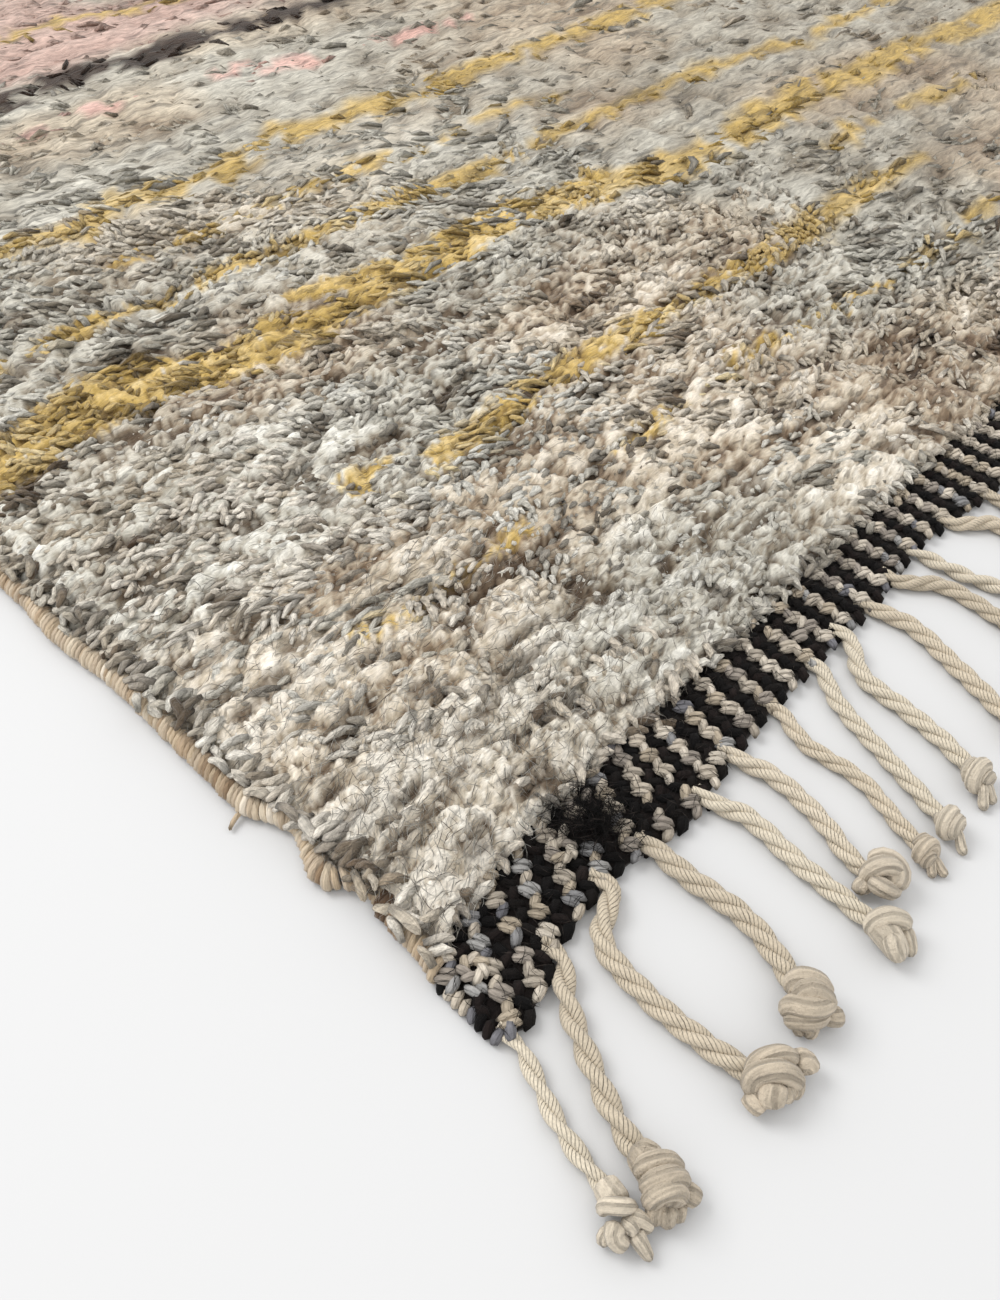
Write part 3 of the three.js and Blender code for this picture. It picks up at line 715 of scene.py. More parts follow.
# Length and bow of a loose fibre
FIBRE_SHAPES = ((9, 2.0), (11, 3.4), (7, 2.0), (13, 4.6))
FIBRE_HALF = 0.15
FIBRE_SPACING = 2.95
FIBRE_REACH = 400
# Share and shade of the dark fibres among them
DARK_FIBRES = 0.2
DARK_FIBRE = "54463A"
# The felted surface near the corner: how far it reaches each way, how many points it has,
# and how much wider they lie at its far side than at the rim
FELT_REACH = 770
FELT_STEPS = 218
FELT_WIDENING = 3.7
# Its lumps: their size, how much longer they are than wide, how high they rise, how deep
# the painted shade in the seams between them is, and how much of them there is at which distance from the
# corner
FELT_LUMPS = (
    (10.5, 1.25, 3.0, 0.45, ((200, 1), (330, 0))),
    (5.2, 1.1, 1.4, 0.3, ((200, 1), (330, 0))),
    (8, 2.1, 2.6, 0.6, ((200, 0), (330, 1), (520, 1), (660, 0.3))),
    (13, 2.1, 2.6, 0.5, ((520, 0), (660, 0.8))),
)
# The felted foot: how deep it lies under the nap and how far it is darkened as painted shade, by the distance
# from the corner
FOOT_DEPTHS = ((700, 9.5), (780, 3.0), (950, 1.5), (1400, 0.9))
FOOT_PAINTED_SHADES = ((700, 0.84), (1200, 0.95))


def lock_shape(name, rise_from, rise_to, curl, length, half, tip, sides, rings):
    """A two-ply lock whose tip touches the origin from below and whose shaft comes from behind."""
    fine = np.linspace(0, 1, 41)
    rise = np.radians(rise_from + (rise_to - rise_from) * fine)
    yaw = np.radians(curl) * (fine - 1)
    direction = np.stack([np.cos(rise) * np.cos(yaw), np.cos(rise) * np.sin(yaw), np.sin(rise)], -1)
    line = np.cumsum(direction, axis=0) * length / len(fine)
    line -= line[-1] + np.array([0, 0, half * 0.8])
    steps = 0.96 * np.linspace(0, 1, rings) ** 0.85
    path = np.stack([np.interp(steps, fine, line[:, axis]) for axis in range(3)], -1)
    width = half * np.interp(steps, (0, 0.4, 0.7, 1), (0.75, 1.0, 0.94, tip))
    crimp = np.random.default_rng(int(length * 31 + curl + 99)).uniform(0.74, 1.24, (rings, sides))
    return yarn_shape(name, path, width, sides, ends=(path[0], line[-1] + half * 0.25 * direction[-1]),
                      lobe=0.13 if sides > 4 else 0, twist=PLY_TURNS, crimp=crimp)


def fibre_shape(name, length, bow):
    """A single fibre, bowed and pointed, that rests on the locks at its middle."""
    steps = np.array([-0.5, -0.17, 0.17, 0.5])
    path = np.stack([steps * length, bow * (0.25 - steps ** 2) * 2, -0.8 * np.abs(steps)], -1)
    return yarn_shape(name, path[1:3], FIBRE_HALF, 3, ends=path[[0, 3]])


def scatter_fibres(name, across, along, height, heading, tints, wool, seed):
    """Lays loose fibres at places of the rug, each with a random roll and a little pitch."""
    rng = np.random.default_rng(seed)
    count = len(across)
    shapes = [fibre_shape(f"{name}_{number}", *shape) for number, shape in enumerate(FIBRE_SHAPES)]
    turns = np.stack([rng.uniform(-math.pi, math.pi, count), rng.normal(0.05, 0.22, count), heading], -1)
    return lay_yarn(name, on_rug(across, along, height), turns, np.ones(count),
                    rng.integers(0, len(FIBRE_SHAPES), count), tints, shapes, wool, spread=0.3, seed=seed)


def nap_heading(across, along):
    """The heading of the nap, blended from the nearest listed ones, in radians."""
    east, north = 0, 0
    for at_across, at_along, heading in NAP:
        weight = 1 / ((across - at_across) ** 2 + (along - at_along) ** 2 + 3000) ** 1.5
        east = east + weight * math.cos(math.radians(heading))
        north = north + weight * math.sin(math.radians(heading))
    return np.arctan2(north, east)


def tufts(across, along, size=33, stretch=1.5, seed=3, edge=0.26):
    """Nearest-cell pattern of clumps: a number for each, and its rise from 0 at the edge to 1."""
    width = size * stretch
    column, row = np.floor(across / width), np.floor(along / size)
    nearest = np.full(across.shape, 1e9)
    second = np.full(across.shape, 1e9)
    number = np.zeros(across.shape)
    for right in (-1, 0, 1):
        for up in (-1, 0, 1):
            cell = (column + right) * 57.31 + (row + up) * 113.97 + seed
            x = (column + right + scatter(cell)) * width
            y = (row + up + scatter(cell + 0.37)) * size
            distance = np.hypot((across - x) / stretch, along - y)
            closer = distance < nearest
            second = np.where(closer, nearest, np.minimum(second, distance))
            number = np.where(closer, scatter(cell + 0.71), number)
            nearest = np.where(closer, distance, nearest)
    return number, smooth_step(0, edge * size, second - nearest)


def furrow_depth(across, along):
    """Short furrows along the nap where the locks part: 0 outside them and 1 in their middle."""
    return smooth_step(0.34, 0.8, soft_noise(across, along, 8, 27, stretch=3))


def nap_surface(across, along):
    """Height of the locks' tips, with furrows between tufts and a fall towards the rim."""
    _, middle = tufts(across, along)
    crest = hummocks(across, along) + 1.2 * soft_noise(across, along, 26, 11)
    crest -= 4.2 * (1 - middle) + 2.4 * furrow_depth(across, along)
    return PILE_WALL + (crest - PILE_WALL) * smooth_step(-6, PILE_SHOULDER, rim_distance(across, along))


def wool_ramp(wool, depth):
    """Linear colours of a wool from its deepest lock at 0 to its lightest at 1."""
    steps = np.array([hex_color(code) for code in WOOLS[wool]])
    if wool == "mustard":
        steps *= np.array(bpy.context.scene.rug_pile.mustard_color) / steps[2]
    return np.stack([np.interp(depth, WOOL_STEPS, steps[:, c]) for c in range(3)], -1)


def lock_tints(across, along, rng, spread=0.06, painted_shade=0.0):
    """The colour of every lock: heather, greyer and blushed ground, and the dyed lines.

    "spread" is how much neighbours differ, and the painted shade that is given darkens single
    places. The edges of the tufts and the furrows are painted darker too, as the shade between the locks.
    """
    count = len(across)

    def noise(grain, seed, stretch=1.0):
        return soft_noise(across, along, grain, seed, stretch)

    def blend(color, other, share):
        return color + (other - color) * np.asarray(share)[:, None]

    _, middle = tufts(across, along)
    away = closeness(across, along)
    calm = 1 - 0.7 * smooth_step(300, 1200, away)
    ground = np.interp(away, *zip(*GROUND_DEPTHS))
    # The right part of the rug is a little darker than the left
    ground -= 0.14 * smooth_step(600, 850, across) * smooth_step(600, 850, away)
    furrow = furrow_depth(across, along)
    uneven = 0.19 * noise(13, 21, 4) + 0.14 * noise(34, 22, 1.7) + 0.12 * noise(95, 26, 1.5)
    # The edges of the tufts and the furrows are painted darker as the shade between the locks, and single
    # places by the painted shade that is given
    own = rng.normal(0, spread, count) - 0.24 * (1 - middle) - 0.3 * furrow - painted_shade
    depth = np.clip(ground + calm * (uneven + own), 0.02, 1)
    grey = smooth_step(0.05, 1.2, noise(120, 23, 1.4) + 0.85 * smooth_step(80, 560, along + 0.5 * across)
                       + rng.normal(0, spread, count))
    color = blend(wool_ramp("heather", depth), wool_ramp("grey", depth), grey)
    blush = read_table(PINK_GROUND, along + 14 * noise(60, 24, 2))
    blush = blush * smooth_step(-0.9, 0.2, noise(70, 25, 2.5) + 0.35)
    color = blend(color, wool_ramp("blush", depth), blush)
    for number, (wool, solid, course) in enumerate(LINES):
        off_middle = np.abs(along - read_table(course, across))
        edge = 2.5 * rng.normal(0, 1, count) + 3.5 * noise(24, 40 + number)
        inside = smooth_step(-4, 5, read_table(course, across, 2) / 2 + 1.5 - off_middle - edge)
        broken = noise(34, 70 + number, 1.3) * 0.5 + 0.5
        taken = (rng.random(count) < 0.55 + 0.45 * solid) & (broken > (1 - solid) * 0.9)
        taken &= (across >= course[0][0]) & (across <= course[-1][0])
        color = blend(color, wool_ramp(wool, np.clip(depth + 0.06, 0, 1)), taken * inside)
    # The furrows blend towards a brown as painted shade
    color = blend(color, np.array(bpy.context.scene.rug_pile.furrow_painted_shade), 0.5 * calm * furrow)
    right, up = across - BLACK_TUFT[0], along - BLACK_TUFT[1]
    off_tuft = np.hypot((right + up) / 1.41, (right - up) / 2.1) / BLACK_TUFT[2]
    black = smooth_step(0.5, -0.3, off_tuft - 1 + rng.normal(0, 0.16, count))
    return blend(color, np.array(hex_color(BLACK_GRAINS[0])), black)


def jittered(spacing, low, high, seed):
    """Places on a staggered grid, each moved a little."""
    across, along = np.meshgrid(np.arange(low[0], high[0], spacing, float),
                                np.arange(low[1], high[1], spacing, float))
    across[1::2] += spacing / 2
    rng = np.random.default_rng(seed)
    return [places.ravel() + rng.uniform(-0.36, 0.36, places.size) * spacing for places in (across, along)]


def rim_places(spacing, seed):
    """Tips of the locks that hang out over the bands and the selvedges: place, height and heading."""
    rng = np.random.default_rng(seed)
    spacing = min(spacing, RIM_SPACING)
    across_run = np.arange(SELVEDGE_WIDTH, RUG_WIDTH - SELVEDGE_WIDTH, spacing * 0.85)
    along_run = np.arange(40, RUG_LENGTH - 40, spacing * 0.85)
    sets = []
    # Two rows of locks over every edge: their height, and how far they hang out
    ends, sides = ((11.5, 4.5), (6.5, 2.0)), ((15.5, 2.5), (12.6, 6.5))
    for run, heading, rows, place in (
        (across_run, 270, ends, lambda at, out: (at, near_inner(at) - out)),
        (across_run, 90, ends, lambda at, out: (at, far_inner(at) + out)),
        (along_run, 180, sides, lambda at, out: (left_rim(at) - out - 1.5, at)),
        (along_run, 0, sides, lambda at, out: (right_rim(at) + out * 0.8, at)),
    ):
        for height, reach in rows:
            at = run + rng.uniform(-0.4, 0.4, len(run)) * spacing
            out = reach + rng.uniform(-2.5, 2.5, len(run))
            turn = np.radians(heading + rng.normal(0, 42, len(run)))
            sets.append((*place(at, out), height + rng.uniform(-2, 2, len(run)), turn))
    return np.concatenate(sets, axis=1)


def lock_kinds(across, along, rng):
    """Which shape every lock takes: lumps by the near end, brushed patches, lying ones elsewhere."""
    count = len(across)
    draw = rng.random(count)
    near_end = 1 - smooth_step(40, 150, along + 22 * soft_noise(across, along, 60, 31))
    corner = 1 - smooth_step(90, 270, np.hypot(across, along) + 30 * soft_noise(across, along, 70, 32))
    lumpy = np.maximum(near_end * 0.62, corner) * 0.62
    brushed = smooth_step(0.25, 0.8, soft_noise(across, along, 85, 33, stretch=1.4)) * 0.7
    kinds = rng.choice([LYING, CURLED_LEFT, CURLED_RIGHT, HOOKED, SWEPT, STANDING], count,
                       p=[0.32, 0.17, 0.17, 0.12, 0.14, 0.08])
    kinds = np.where(rng.random(count) < brushed, BRUSHED, kinds)
    return np.where(draw < lumpy, np.where(draw < lumpy * 0.6, LUMP, STANDING), kinds)


class RUG_OT_pile(bpy.types.Operator):
    """Ties the heathered pile, lock by lock, over a felted foot"""

    bl_idname = "rug.pile"
    bl_label = "Pile"

    def execute(self, context):
        wool = yarn_material(**PILE_WOOL)
        pieces = [self.felted_foot(), self.felted_surface(), self.loose_fibres(wool)]
        nearest = 0
        for seed, (name, reach, spacing, size, sides, rings) in enumerate(PILE_ZONES):
            shapes = [lock_shape(f"{name}_{number}", *shape, sides, rings)
                      for number, (_, *shape) in enumerate(LOCK_SHAPES)]
            size = size * context.scene.rug_pile.lock_size
            pieces.append(self.plant_zone(name, nearest, reach, spacing, size, shapes, wool, seed))
            nearest = reach
        for piece in pieces:
            finish_piece(piece, "pile_field")
        return {"FINISHED"}

    def plant_zone(self, name, nearest, reach, spacing, size, shapes, wool, seed):
        """Locks between two distances from the near left corner."""
        rng = np.random.default_rng(100 + seed)
        end = (min(reach + 60, RUG_WIDTH), min(reach + 60, RUG_LENGTH))
        across, along = jittered(spacing, (SELVEDGE_WIDTH - 4, 20), end, 200 + seed)
        kept = rim_distance(across, along) > 0
        across, along = across[kept], along[kept]
        heading = nap_heading(across, along)
        heading += np.radians(26) * soft_noise(across, along, 75, 12)
        number, _ = tufts(across, along)
        heading += np.radians(60) * (number - 0.5) + rng.normal(0, math.radians(17), len(across))
        # Bedded in the felt near the corner, and brushed smooth where the rug is seen from afar
        away = closeness(across, along)
        bedded = 1.5 * smooth_step(820, 640, away) + 1.6 * smooth_step(700, 1000, away)
        height = nap_surface(across, along) + rng.uniform(-1.7, 1.1, len(across)) - bedded
        places = np.concatenate([(across, along, height, heading), rim_places(spacing, 300 + seed)], axis=1)
        hanging = np.arange(places.shape[1]) >= len(across)
        ragged = closeness(*places[:2]) + 22 * soft_noise(*places[:2], 30, 13)
        kept = (ragged >= nearest) & (ragged < reach)
        across, along, height, heading = places[:, kept]
        hanging = hanging[kept]
        count = len(across)
        kinds = lock_kinds(across, along, rng)
        kinds[hanging] = rng.choice([LYING, HOOKED, CURLED_LEFT, CURLED_RIGHT], hanging.sum())
        pitch = rng.normal(0, 0.14, count) + np.where(hanging, 0.35, 0)
        turns = np.stack([rng.normal(0, 0.25, count), pitch, heading], -1)
        sizes = np.where(hanging, min(size, RIM_SIZE), size) * rng.uniform(0.86, 1.14, count)
        tints = lock_tints(across, along, rng)
        # The dark line stands out of the brushed wool on both sides of it
        far = smooth_step(950, 1300, closeness(across, along))
        height = height + 2.2 * (tints.sum(axis=1) < DARK_LOCK) * far
        piece = lay_yarn(name, on_rug(across, along, height), turns, sizes, kinds, tints, shapes, wool,
                         seed=seed)
        keep_between(piece, WEAVE_TOP, PILE_TOP)
        return piece

    def loose_fibres(self, wool):
        """Fine single fibres that stand out of the locks where the pile is seen closest."""
        rng = np.random.default_rng(90)
        across, along = jittered(FIBRE_SPACING, (SELVEDGE_WIDTH - 8, 16), (FIBRE_REACH, FIBRE_REACH), 91)
        thinning = rng.random(len(across)) * FIBRE_REACH
        kept = (rim_distance(across, along) > -6) & (closeness(across, along) < np.maximum(thinning, 150))
        across, along = across[kept], along[kept]
        heading = nap_heading(across, along) + rng.normal(0, 0.7, len(across))
        height = nap_surface(across, along) + rng.uniform(-1.6, 0.8, len(across))
        tints = lock_tints(across, along, rng)
        tints[rng.random(len(across)) < DARK_FIBRES] = hex_color(DARK_FIBRE)
        return scatter_fibres("pile_loose_fibres", across, along, height, heading, tints, wool, 92)

    def felted_foot(self):
        """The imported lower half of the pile, which shows as dark gaps between the locks."""
        across, along = rug_grid(np.linspace(0, 1, 113), np.linspace(0, 1, 151),
                                 (SELVEDGE_WIDTH, RUG_WIDTH - SELVEDGE_WIDTH),
                                 (near_inner, far_inner), (left_rim, right_rim))
        near = closeness(across, along)
        height = nap_surface(across, along) - np.interp(near, *zip(*FOOT_DEPTHS))
        height = WEAVE_TOP + (height - WEAVE_TOP) * smooth_step(-1, 10, rim_distance(across, along))
        # The foot's tints are darkened as painted shade of the gaps between the locks
        tints = lock_tints(across.ravel(), along.ravel(), np.random.default_rng(93), spread=0.05, painted_shade=0.06)
        tints = tints * np.interp(near.ravel(), *zip(*FOOT_PAINTED_SHADES))[:, None]
        return blanket("pile_foot", on_rug(across, along, height), tints,
                       felted_wool("felted pile foot", 5.5, 0.5, 1.8))

    def felted_surface(self):
        """The matted surface where the pile is seen closest: soft lumps with painted shade in the seams
        between them.
        """
        share = (FELT_WIDENING ** np.linspace(0, 1, FELT_STEPS) - 1) / (FELT_WIDENING - 1)
        across, along = rug_grid(share, share, (SELVEDGE_WIDTH, FELT_REACH),
                                 (near_inner, lambda across: FELT_REACH),
                                 (lambda along: left_rim(along) - 5, lambda along: FELT_REACH))
        bent_across = across + 3.0 * soft_noise(across, along, 7, 61)
        bent_along = along + 3.0 * soft_noise(across, along, 7, 62)
        # The lumps follow the near band further than the left selvedge
        reach = np.hypot(0.45 * across, 1.2 * along)
        height, painted_shade = 0, 0
        for size, stretch, rise, dark, weights in FELT_LUMPS:
            _, lump = tufts(bent_across, bent_along, size, stretch, 60 + size, edge=0.8)
            weight = read_table(weights, reach)
            height = height + weight * rise * lump ** 0.6
            # The seams between the lumps are painted dark as the shade that falls there
            painted_shade = painted_shade + weight * dark * (1 - lump) ** 4
        sink = np.interp(np.maximum(across, along), (FELT_REACH - 110, FELT_REACH - 20), (0, 8))
        deeper = 4.3 + 0.6 * smooth_step(200, 330, reach)
        height = nap_surface(across, along) - deeper - sink + height
        height = WEAVE_TOP + (height - WEAVE_TOP) * smooth_step(-7, 5, rim_distance(across, along))
        tints = lock_tints(across.ravel(), along.ravel(), np.random.default_rng(94), spread=0.03,
                           painted_shade=painted_shade.ravel())
        return blanket("pile_felted_surface", on_rug(across, along, height), tints,
                       felted_wool("felted pile surface", 1.7, 0.32, 0.95))


def rug_grid(shares_across, shares_along, span, ends, sides):
    """Places of a grid between the edges of a part of the rug.

    "span" is roughly from where to where it lies across. "ends" are its edges as functions of
    the place across, and "sides" its edges as functions of the place along.
    """
    share_across, share_along = np.meshgrid(shares_across, shares_along)
    across = span[0] + share_across * (span[1] - span[0])
    low, high = (edge(across) for edge in ends)
    along = low + share_along * (high - low)
    low, high = (edge(along) for edge in sides)
    return low + share_across * (high - low), along


def blanket(name, top, tints, material):
    """A closed mesh from a grid of top points, with walls and a flat underside."""
    rows, columns = top.shape[:2]
    faces, border = grid_faces(rows, columns)
    wall = top.reshape(-1, 3)[border]
    wall[:, 2] = FELT_UNDERSIDE * MM
    first, centre = rows * columns, rows * columns + len(border)
    for here in range(len(border)):
        there = (here + 1) % len(border)
        faces += [(first + here, first + there, border[there], border[here]),
                  (first + there, first + here, centre)]
    points = np.concatenate([top.reshape(-1, 3), wall, wall.mean(axis=0)[None]])
    points[:, 2] = np.maximum(points[:, 2], wall[0, 2])
    tints = np.concatenate([tints, tints[border], tints[:1]])
    return make_object(name, points, faces, tints=tints, material=material)


# The ground weave

# The ground weave's wool, painted a darker taupe as the shade among the roots of the locks
WEAVE_PAINTED_SHADE = "857B6C"


class RUG_OT_ground_weave(bpy.types.Operator):
    """Weaves the thin cloth that carries the knots, seen from below"""

    bl_idname = "rug.ground_weave"
    bl_label = "Ground weave"

    def execute(self, context):
        columns, rows = 30, 40
        ends = (lambda across: 6 - near_stray(across),
                lambda across: RUG_LENGTH - 6 + far_stray(RUG_WIDTH - across))
        sides = (lambda along: left_edge(along) + 11, lambda along: right_edge(along) - 8)
        across, along = rug_grid(np.linspace(0, 1, columns), np.linspace(0, 1, rows),
                                 (4, RUG_WIDTH - 4), ends, sides)
        points = np.concatenate([on_rug(across, along, height).reshape(-1, 3)
                                 for height in (WEAVE_TOP, WEAVE_UNDERSIDE)])
        count = columns * rows
        faces, border = grid_faces(rows, columns)
        faces += [tuple(count + corner for corner in reversed(face)) for face in faces]
        faces += [(count + here, count + there, there, here)
                  for here, there in zip(border, border[1:] + border[:1])]
        piece = make_object("ground_weave", points, faces,
                            tints=np.tile(hex_color(WEAVE_PAINTED_SHADE), (2 * count, 1)),
                            material=felted_wool("ground weave wool", 5, 0.4, 0.8))
        finish_piece(piece, "pile_field")
        return {"FINISHED"}


# The twined bands

# Skew of the band's columns near the corner, in degrees towards "across" going inwards
BAND_SKEW = ((0, 30), (60, 30), (107, 26), (173, 11), (310, 3), (1700, 2))
GRAIN_ROW = 4.9
PLAIN_ROW = 6.6
SEEN_BAND = 580
IVORY_GRAINS = ("B9AE9E", "A99F91", "958C82", "C5BBAC", "AC9F8C")
SLATE_GRAINS = ("858484", "9C9A97", "737276")
BLACK_GRAINS = ("0E0B0A", "15110F", "0A0808", "1E1715")
BAND_FUZZ_SPACING = 3.8
# Where black wool has worked out over the pile: place and reach
BLACK_TUFT = (105, 23, 13)
# Small loops of pale yarn near the corner: across, along and radius
LOOPS = ((15, 13, 4.2), (85, 24, 4.4))
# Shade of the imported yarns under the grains, and of the browner fibres among the black ones
CORE_SHADE = "1C1614"
BROWN_FIBRE = "4A413C"
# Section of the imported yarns: share of the way inwards, and height
CORE_SECTION = ((0, 0.3), (0, 3.2), (0.06, 4.6), (0.94, 4.8), (1, 3), (1, 0.3))
# Length, half thickness, sides and rings of each grain
GRAIN_SHAPES = ((10.8, 2.4, 6, 5), (9.6, 2.6, 6, 5), (12.3, 3.0, 4, 3), (11.2, 3.1, 5, 4))
PLY, ROUND_GRAIN, PLAIN_GRAIN, DARK_GRAIN = range(len(GRAIN_SHAPES))
# Where the rows of grains begin across, and how deep the deepest may lie
BAND_START = 2.5
DEEPEST_ROW = 74
# Heights of the grains, and the distance between the two plies of a float from its middle
IVORY_HEIGHT = 7.3
BLACK_HEIGHT = 5.8
PLY_GAP = 1.8
# Lean of the grains where the band is plain, in degrees, and how untidy it is by the corner
PLAIN_LEAN = 38
UNTIDY_REACH = 46
UNTIDY_LEAN = 16
# Share of grains in the wrong colour
WRONG_GRAINS = 0.02


def corner_round(across):
    """How far the band's outer corners are rounded off."""
    side = np.minimum(across, RUG_WIDTH - across)
    return 7 * np.clip(1 - side / 12, 0, 1) ** 2


def grain_shape(name, length, half, sides, rings):
    """A float of yarn that rises out of the band and dips back in at both ends."""
    steps = np.linspace(-1, 1, rings)
    sway = 0.16 * half * np.sin(math.pi * steps)
    path = np.stack([steps * length / 2, sway, -0.62 * half * np.abs(steps) ** 2.2], -1)
    radii = half * np.sqrt(np.clip(1 - np.abs(steps) ** 2.2, 0.04, 1))
    return yarn_shape(name, path, radii, sides)


class RUG_OT_end_bands(bpy.types.Operator):
    """Twines the ivory and black bands at both ends"""

    bl_idname = "rug.end_bands"
    bl_label = "End bands"

    def execute(self, context):
        wool = yarn_material(**BAND_WOOL)
        for name, node, stray, inner, far in (
            ("twined_band_near", "end_band_near", near_stray, near_inner, False),
            ("twined_band_far", "end_band_far", far_stray, far_depth, True),
        ):
            finish_piece(self.twine(name, stray, inner, far, wool), node)
            finish_piece(self.core(name + "_core", stray, inner, far), node)
        finish_piece(self.band_fuzz(wool), "end_band_near")
        return {"FINISHED"}

    def twine(self, name, stray, inner, far, wool):
        """Grains row by row from the outer edge inwards, leaning one way and then the other."""
        rng = np.random.default_rng(51 if far else 50)
        float_lean = math.degrees(bpy.context.scene.rug_edges.float_lean)
        grains = []
        for column in range(-4, STATIONS):
            foot = (column + 0.5) * STATION
            plain = far or foot > SEEN_BAND
            pitch = PLAIN_ROW if plain else GRAIN_ROW
            for row in range(int(DEEPEST_ROW / pitch)):
                depth = (row + 0.5) * pitch
                skew = 2 if far else float(read_table(BAND_SKEW, max(foot, 0)))
                across = foot + depth * math.tan(math.radians(skew)) + rng.normal(0, 0.5)
                if across < BAND_START or across > RUG_WIDTH - 3:
                    continue
                edge = float(stray(np.float64(across)))
                out = edge - depth + 0.6 - float(corner_round(across)) + rng.normal(0, 0.35)
                if -out > float(inner(np.float64(across))) + 5:
                    continue
                turned = 1 if row % 2 else -1
                lean = 90 - skew + turned * (PLAIN_LEAN if plain else float_lean)
                ivory = column % 2 == 0
                if not far and across < UNTIDY_REACH:
                    lean += rng.normal(0, UNTIDY_LEAN)
                if rng.random() < WRONG_GRAINS:
                    ivory = not ivory
                off_tuft = math.hypot(across - BLACK_TUFT[0], -out - BLACK_TUFT[1])
                if not far and off_tuft < 0.7 * BLACK_TUFT[2]:
                    ivory = False
                shades = BLACK_GRAINS
                if ivory:
                    slate = 0.05 if far else 0.08 + 0.34 * math.exp(-across / 60)
                    shades = SLATE_GRAINS if rng.random() < slate else IVORY_GRAINS
                tint = pick_shade(shades, rng) * rng.uniform(0.88, 1.08)
                height = (IVORY_HEIGHT if ivory else BLACK_HEIGHT) + rng.normal(0, 0.3)
                if out > edge - 3:
                    height -= 1.2
                # A pale float shows both plies of its yarn side by side, and the next one crosses it
                doubled = ivory and not plain and turned > 0
                kind = PLAIN_GRAIN if plain else DARK_GRAIN if not ivory else PLY if doubled else ROUND_GRAIN
                lean = math.radians(lean + rng.normal(0, 7))
                for side in (-PLY_GAP, PLY_GAP) if doubled else (0,):
                    place = on_rug(across - side * math.sin(lean), -out + side * math.cos(lean),
                                   height - (0 if doubled else 0.2))
                    grains.append((place, (0, rng.normal(0, 0.1), lean), rng.uniform(0.95, 1.08), kind,
                                   tint * rng.uniform(0.95, 1.05)))
        if not far:
            grains += self.turned_over(rng) + self.loops(rng)
        places, turns, sizes, kinds, tints = (np.array(column) for column in zip(*grains))
        if far:
            places = at_far_end(places)
            turns = turns + (0, 0, math.pi)
        shapes = [grain_shape(f"{name}_{number}", *shape) for number, shape in enumerate(GRAIN_SHAPES)]
        piece = lay_yarn(name, places, turns, sizes, kinds, tints, shapes, wool,
                         spread=0.05, jitter=4, seed=9)
        keep_between(piece, EDGE_UNDERSIDE, PILE_TOP)
        return piece

    def turned_over(self, rng):
        """Floats that turn down over the left end of the near band."""
        grains = []
        for out in np.arange(-19, 14, 4.6):
            shades = (BLACK_GRAINS, IVORY_GRAINS, BLACK_GRAINS, SLATE_GRAINS)[rng.integers(4)]
            grains.append((on_rug(1.6 + rng.normal(0, 0.4), -out, 4.2),
                           (0, 0.75, math.pi + rng.normal(0, 0.3)),
                           rng.uniform(0.9, 1.05), ROUND_GRAIN, pick_shade(shades, rng)))
        return grains

    def loops(self, rng):
        """Loops of pale yarn that lie on top of the band."""
        return [(on_rug(across + radius * math.cos(turn), along + radius * math.sin(turn), 9.6),
                 (0, 0, turn + math.pi / 2 + 0.45), 0.92, ROUND_GRAIN, pick_shade(IVORY_GRAINS, rng))
                for across, along, radius in LOOPS for turn in np.radians(np.arange(0, 360, 51))]

    def band_fuzz(self, wool):
        """Black fibres that stand out of the near band, thickest where the black wool works out."""
        rng = np.random.default_rng(95)
        across, along = jittered(BAND_FUZZ_SPACING, (2, -20), (SEEN_BAND, BAND_WIDTH + 6), 96)
        kept = (-along < near_stray(across) - 2) & (along < near_inner(across) + 4)
        across, along = across[kept], along[kept]
        height = rng.uniform(7.6, 9.6, len(across))
        at_across, at_along, reach = BLACK_TUFT
        extra = rng.normal(0, 0.5, (3, 700))
        across = np.concatenate([across, at_across + reach * (0.9 * extra[0] + 1.1 * extra[1])])
        along = np.concatenate([along, at_along + reach * (0.9 * extra[0] - 1.1 * extra[1])])
        height = np.concatenate([height, 15.5 + 5 * extra[2]])
        shades = np.array([hex_color(code) for code in (*BLACK_GRAINS, BROWN_FIBRE)])
        tints = shades[rng.integers(0, len(shades), len(across))]
        return scatter_fibres("band_loose_fibres", across, along, height,
                              rng.uniform(-math.pi, math.pi, len(across)), tints, wool, 97)

    def core(self, name, stray, inner, far):
        """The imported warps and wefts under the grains."""
        across = np.linspace(3, RUG_WIDTH - 3, STATIONS)
        outer, inward = stray(across) - 1.8 - corner_round(across), -inner(across) - 6
        points = np.stack([on_rug(across, -(outer + (inward - outer) * share), height)
                           for share, height in CORE_SECTION], 1).reshape(-1, 3)
        if far:
            points = at_far_end(points)
        size = len(CORE_SECTION)
        last = len(points) - size
        faces = [(here + corner, here + size + corner, here + size + (corner + 1) % size,
                  here + (corner + 1) % size) for here in range(0, last, size) for corner in range(size)]
        faces += [tuple(range(size)), tuple(last + corner for corner in reversed(range(size)))]
        tints = np.tile(hex_color(CORE_SHADE), (len(points), 1))
        return make_object(name, points, faces, tints=tints,
                           material=felted_wool(name + " wool", 2, 0.5, 0.8))


# The overcast selvedges

SELVEDGE_SHADES = ("5F4B3A", "8B755D", "A59077", "B6A389", "B3A28C", "BFAF98", "CABCA6", "D8CCBA")
WRAP_PITCH = 3.1
SEEN_CLOSE = 460
STUB_TIP = (-11, 149)
# Where the wraps of the left edge are darker and browner
BROWN_WRAPS = 62
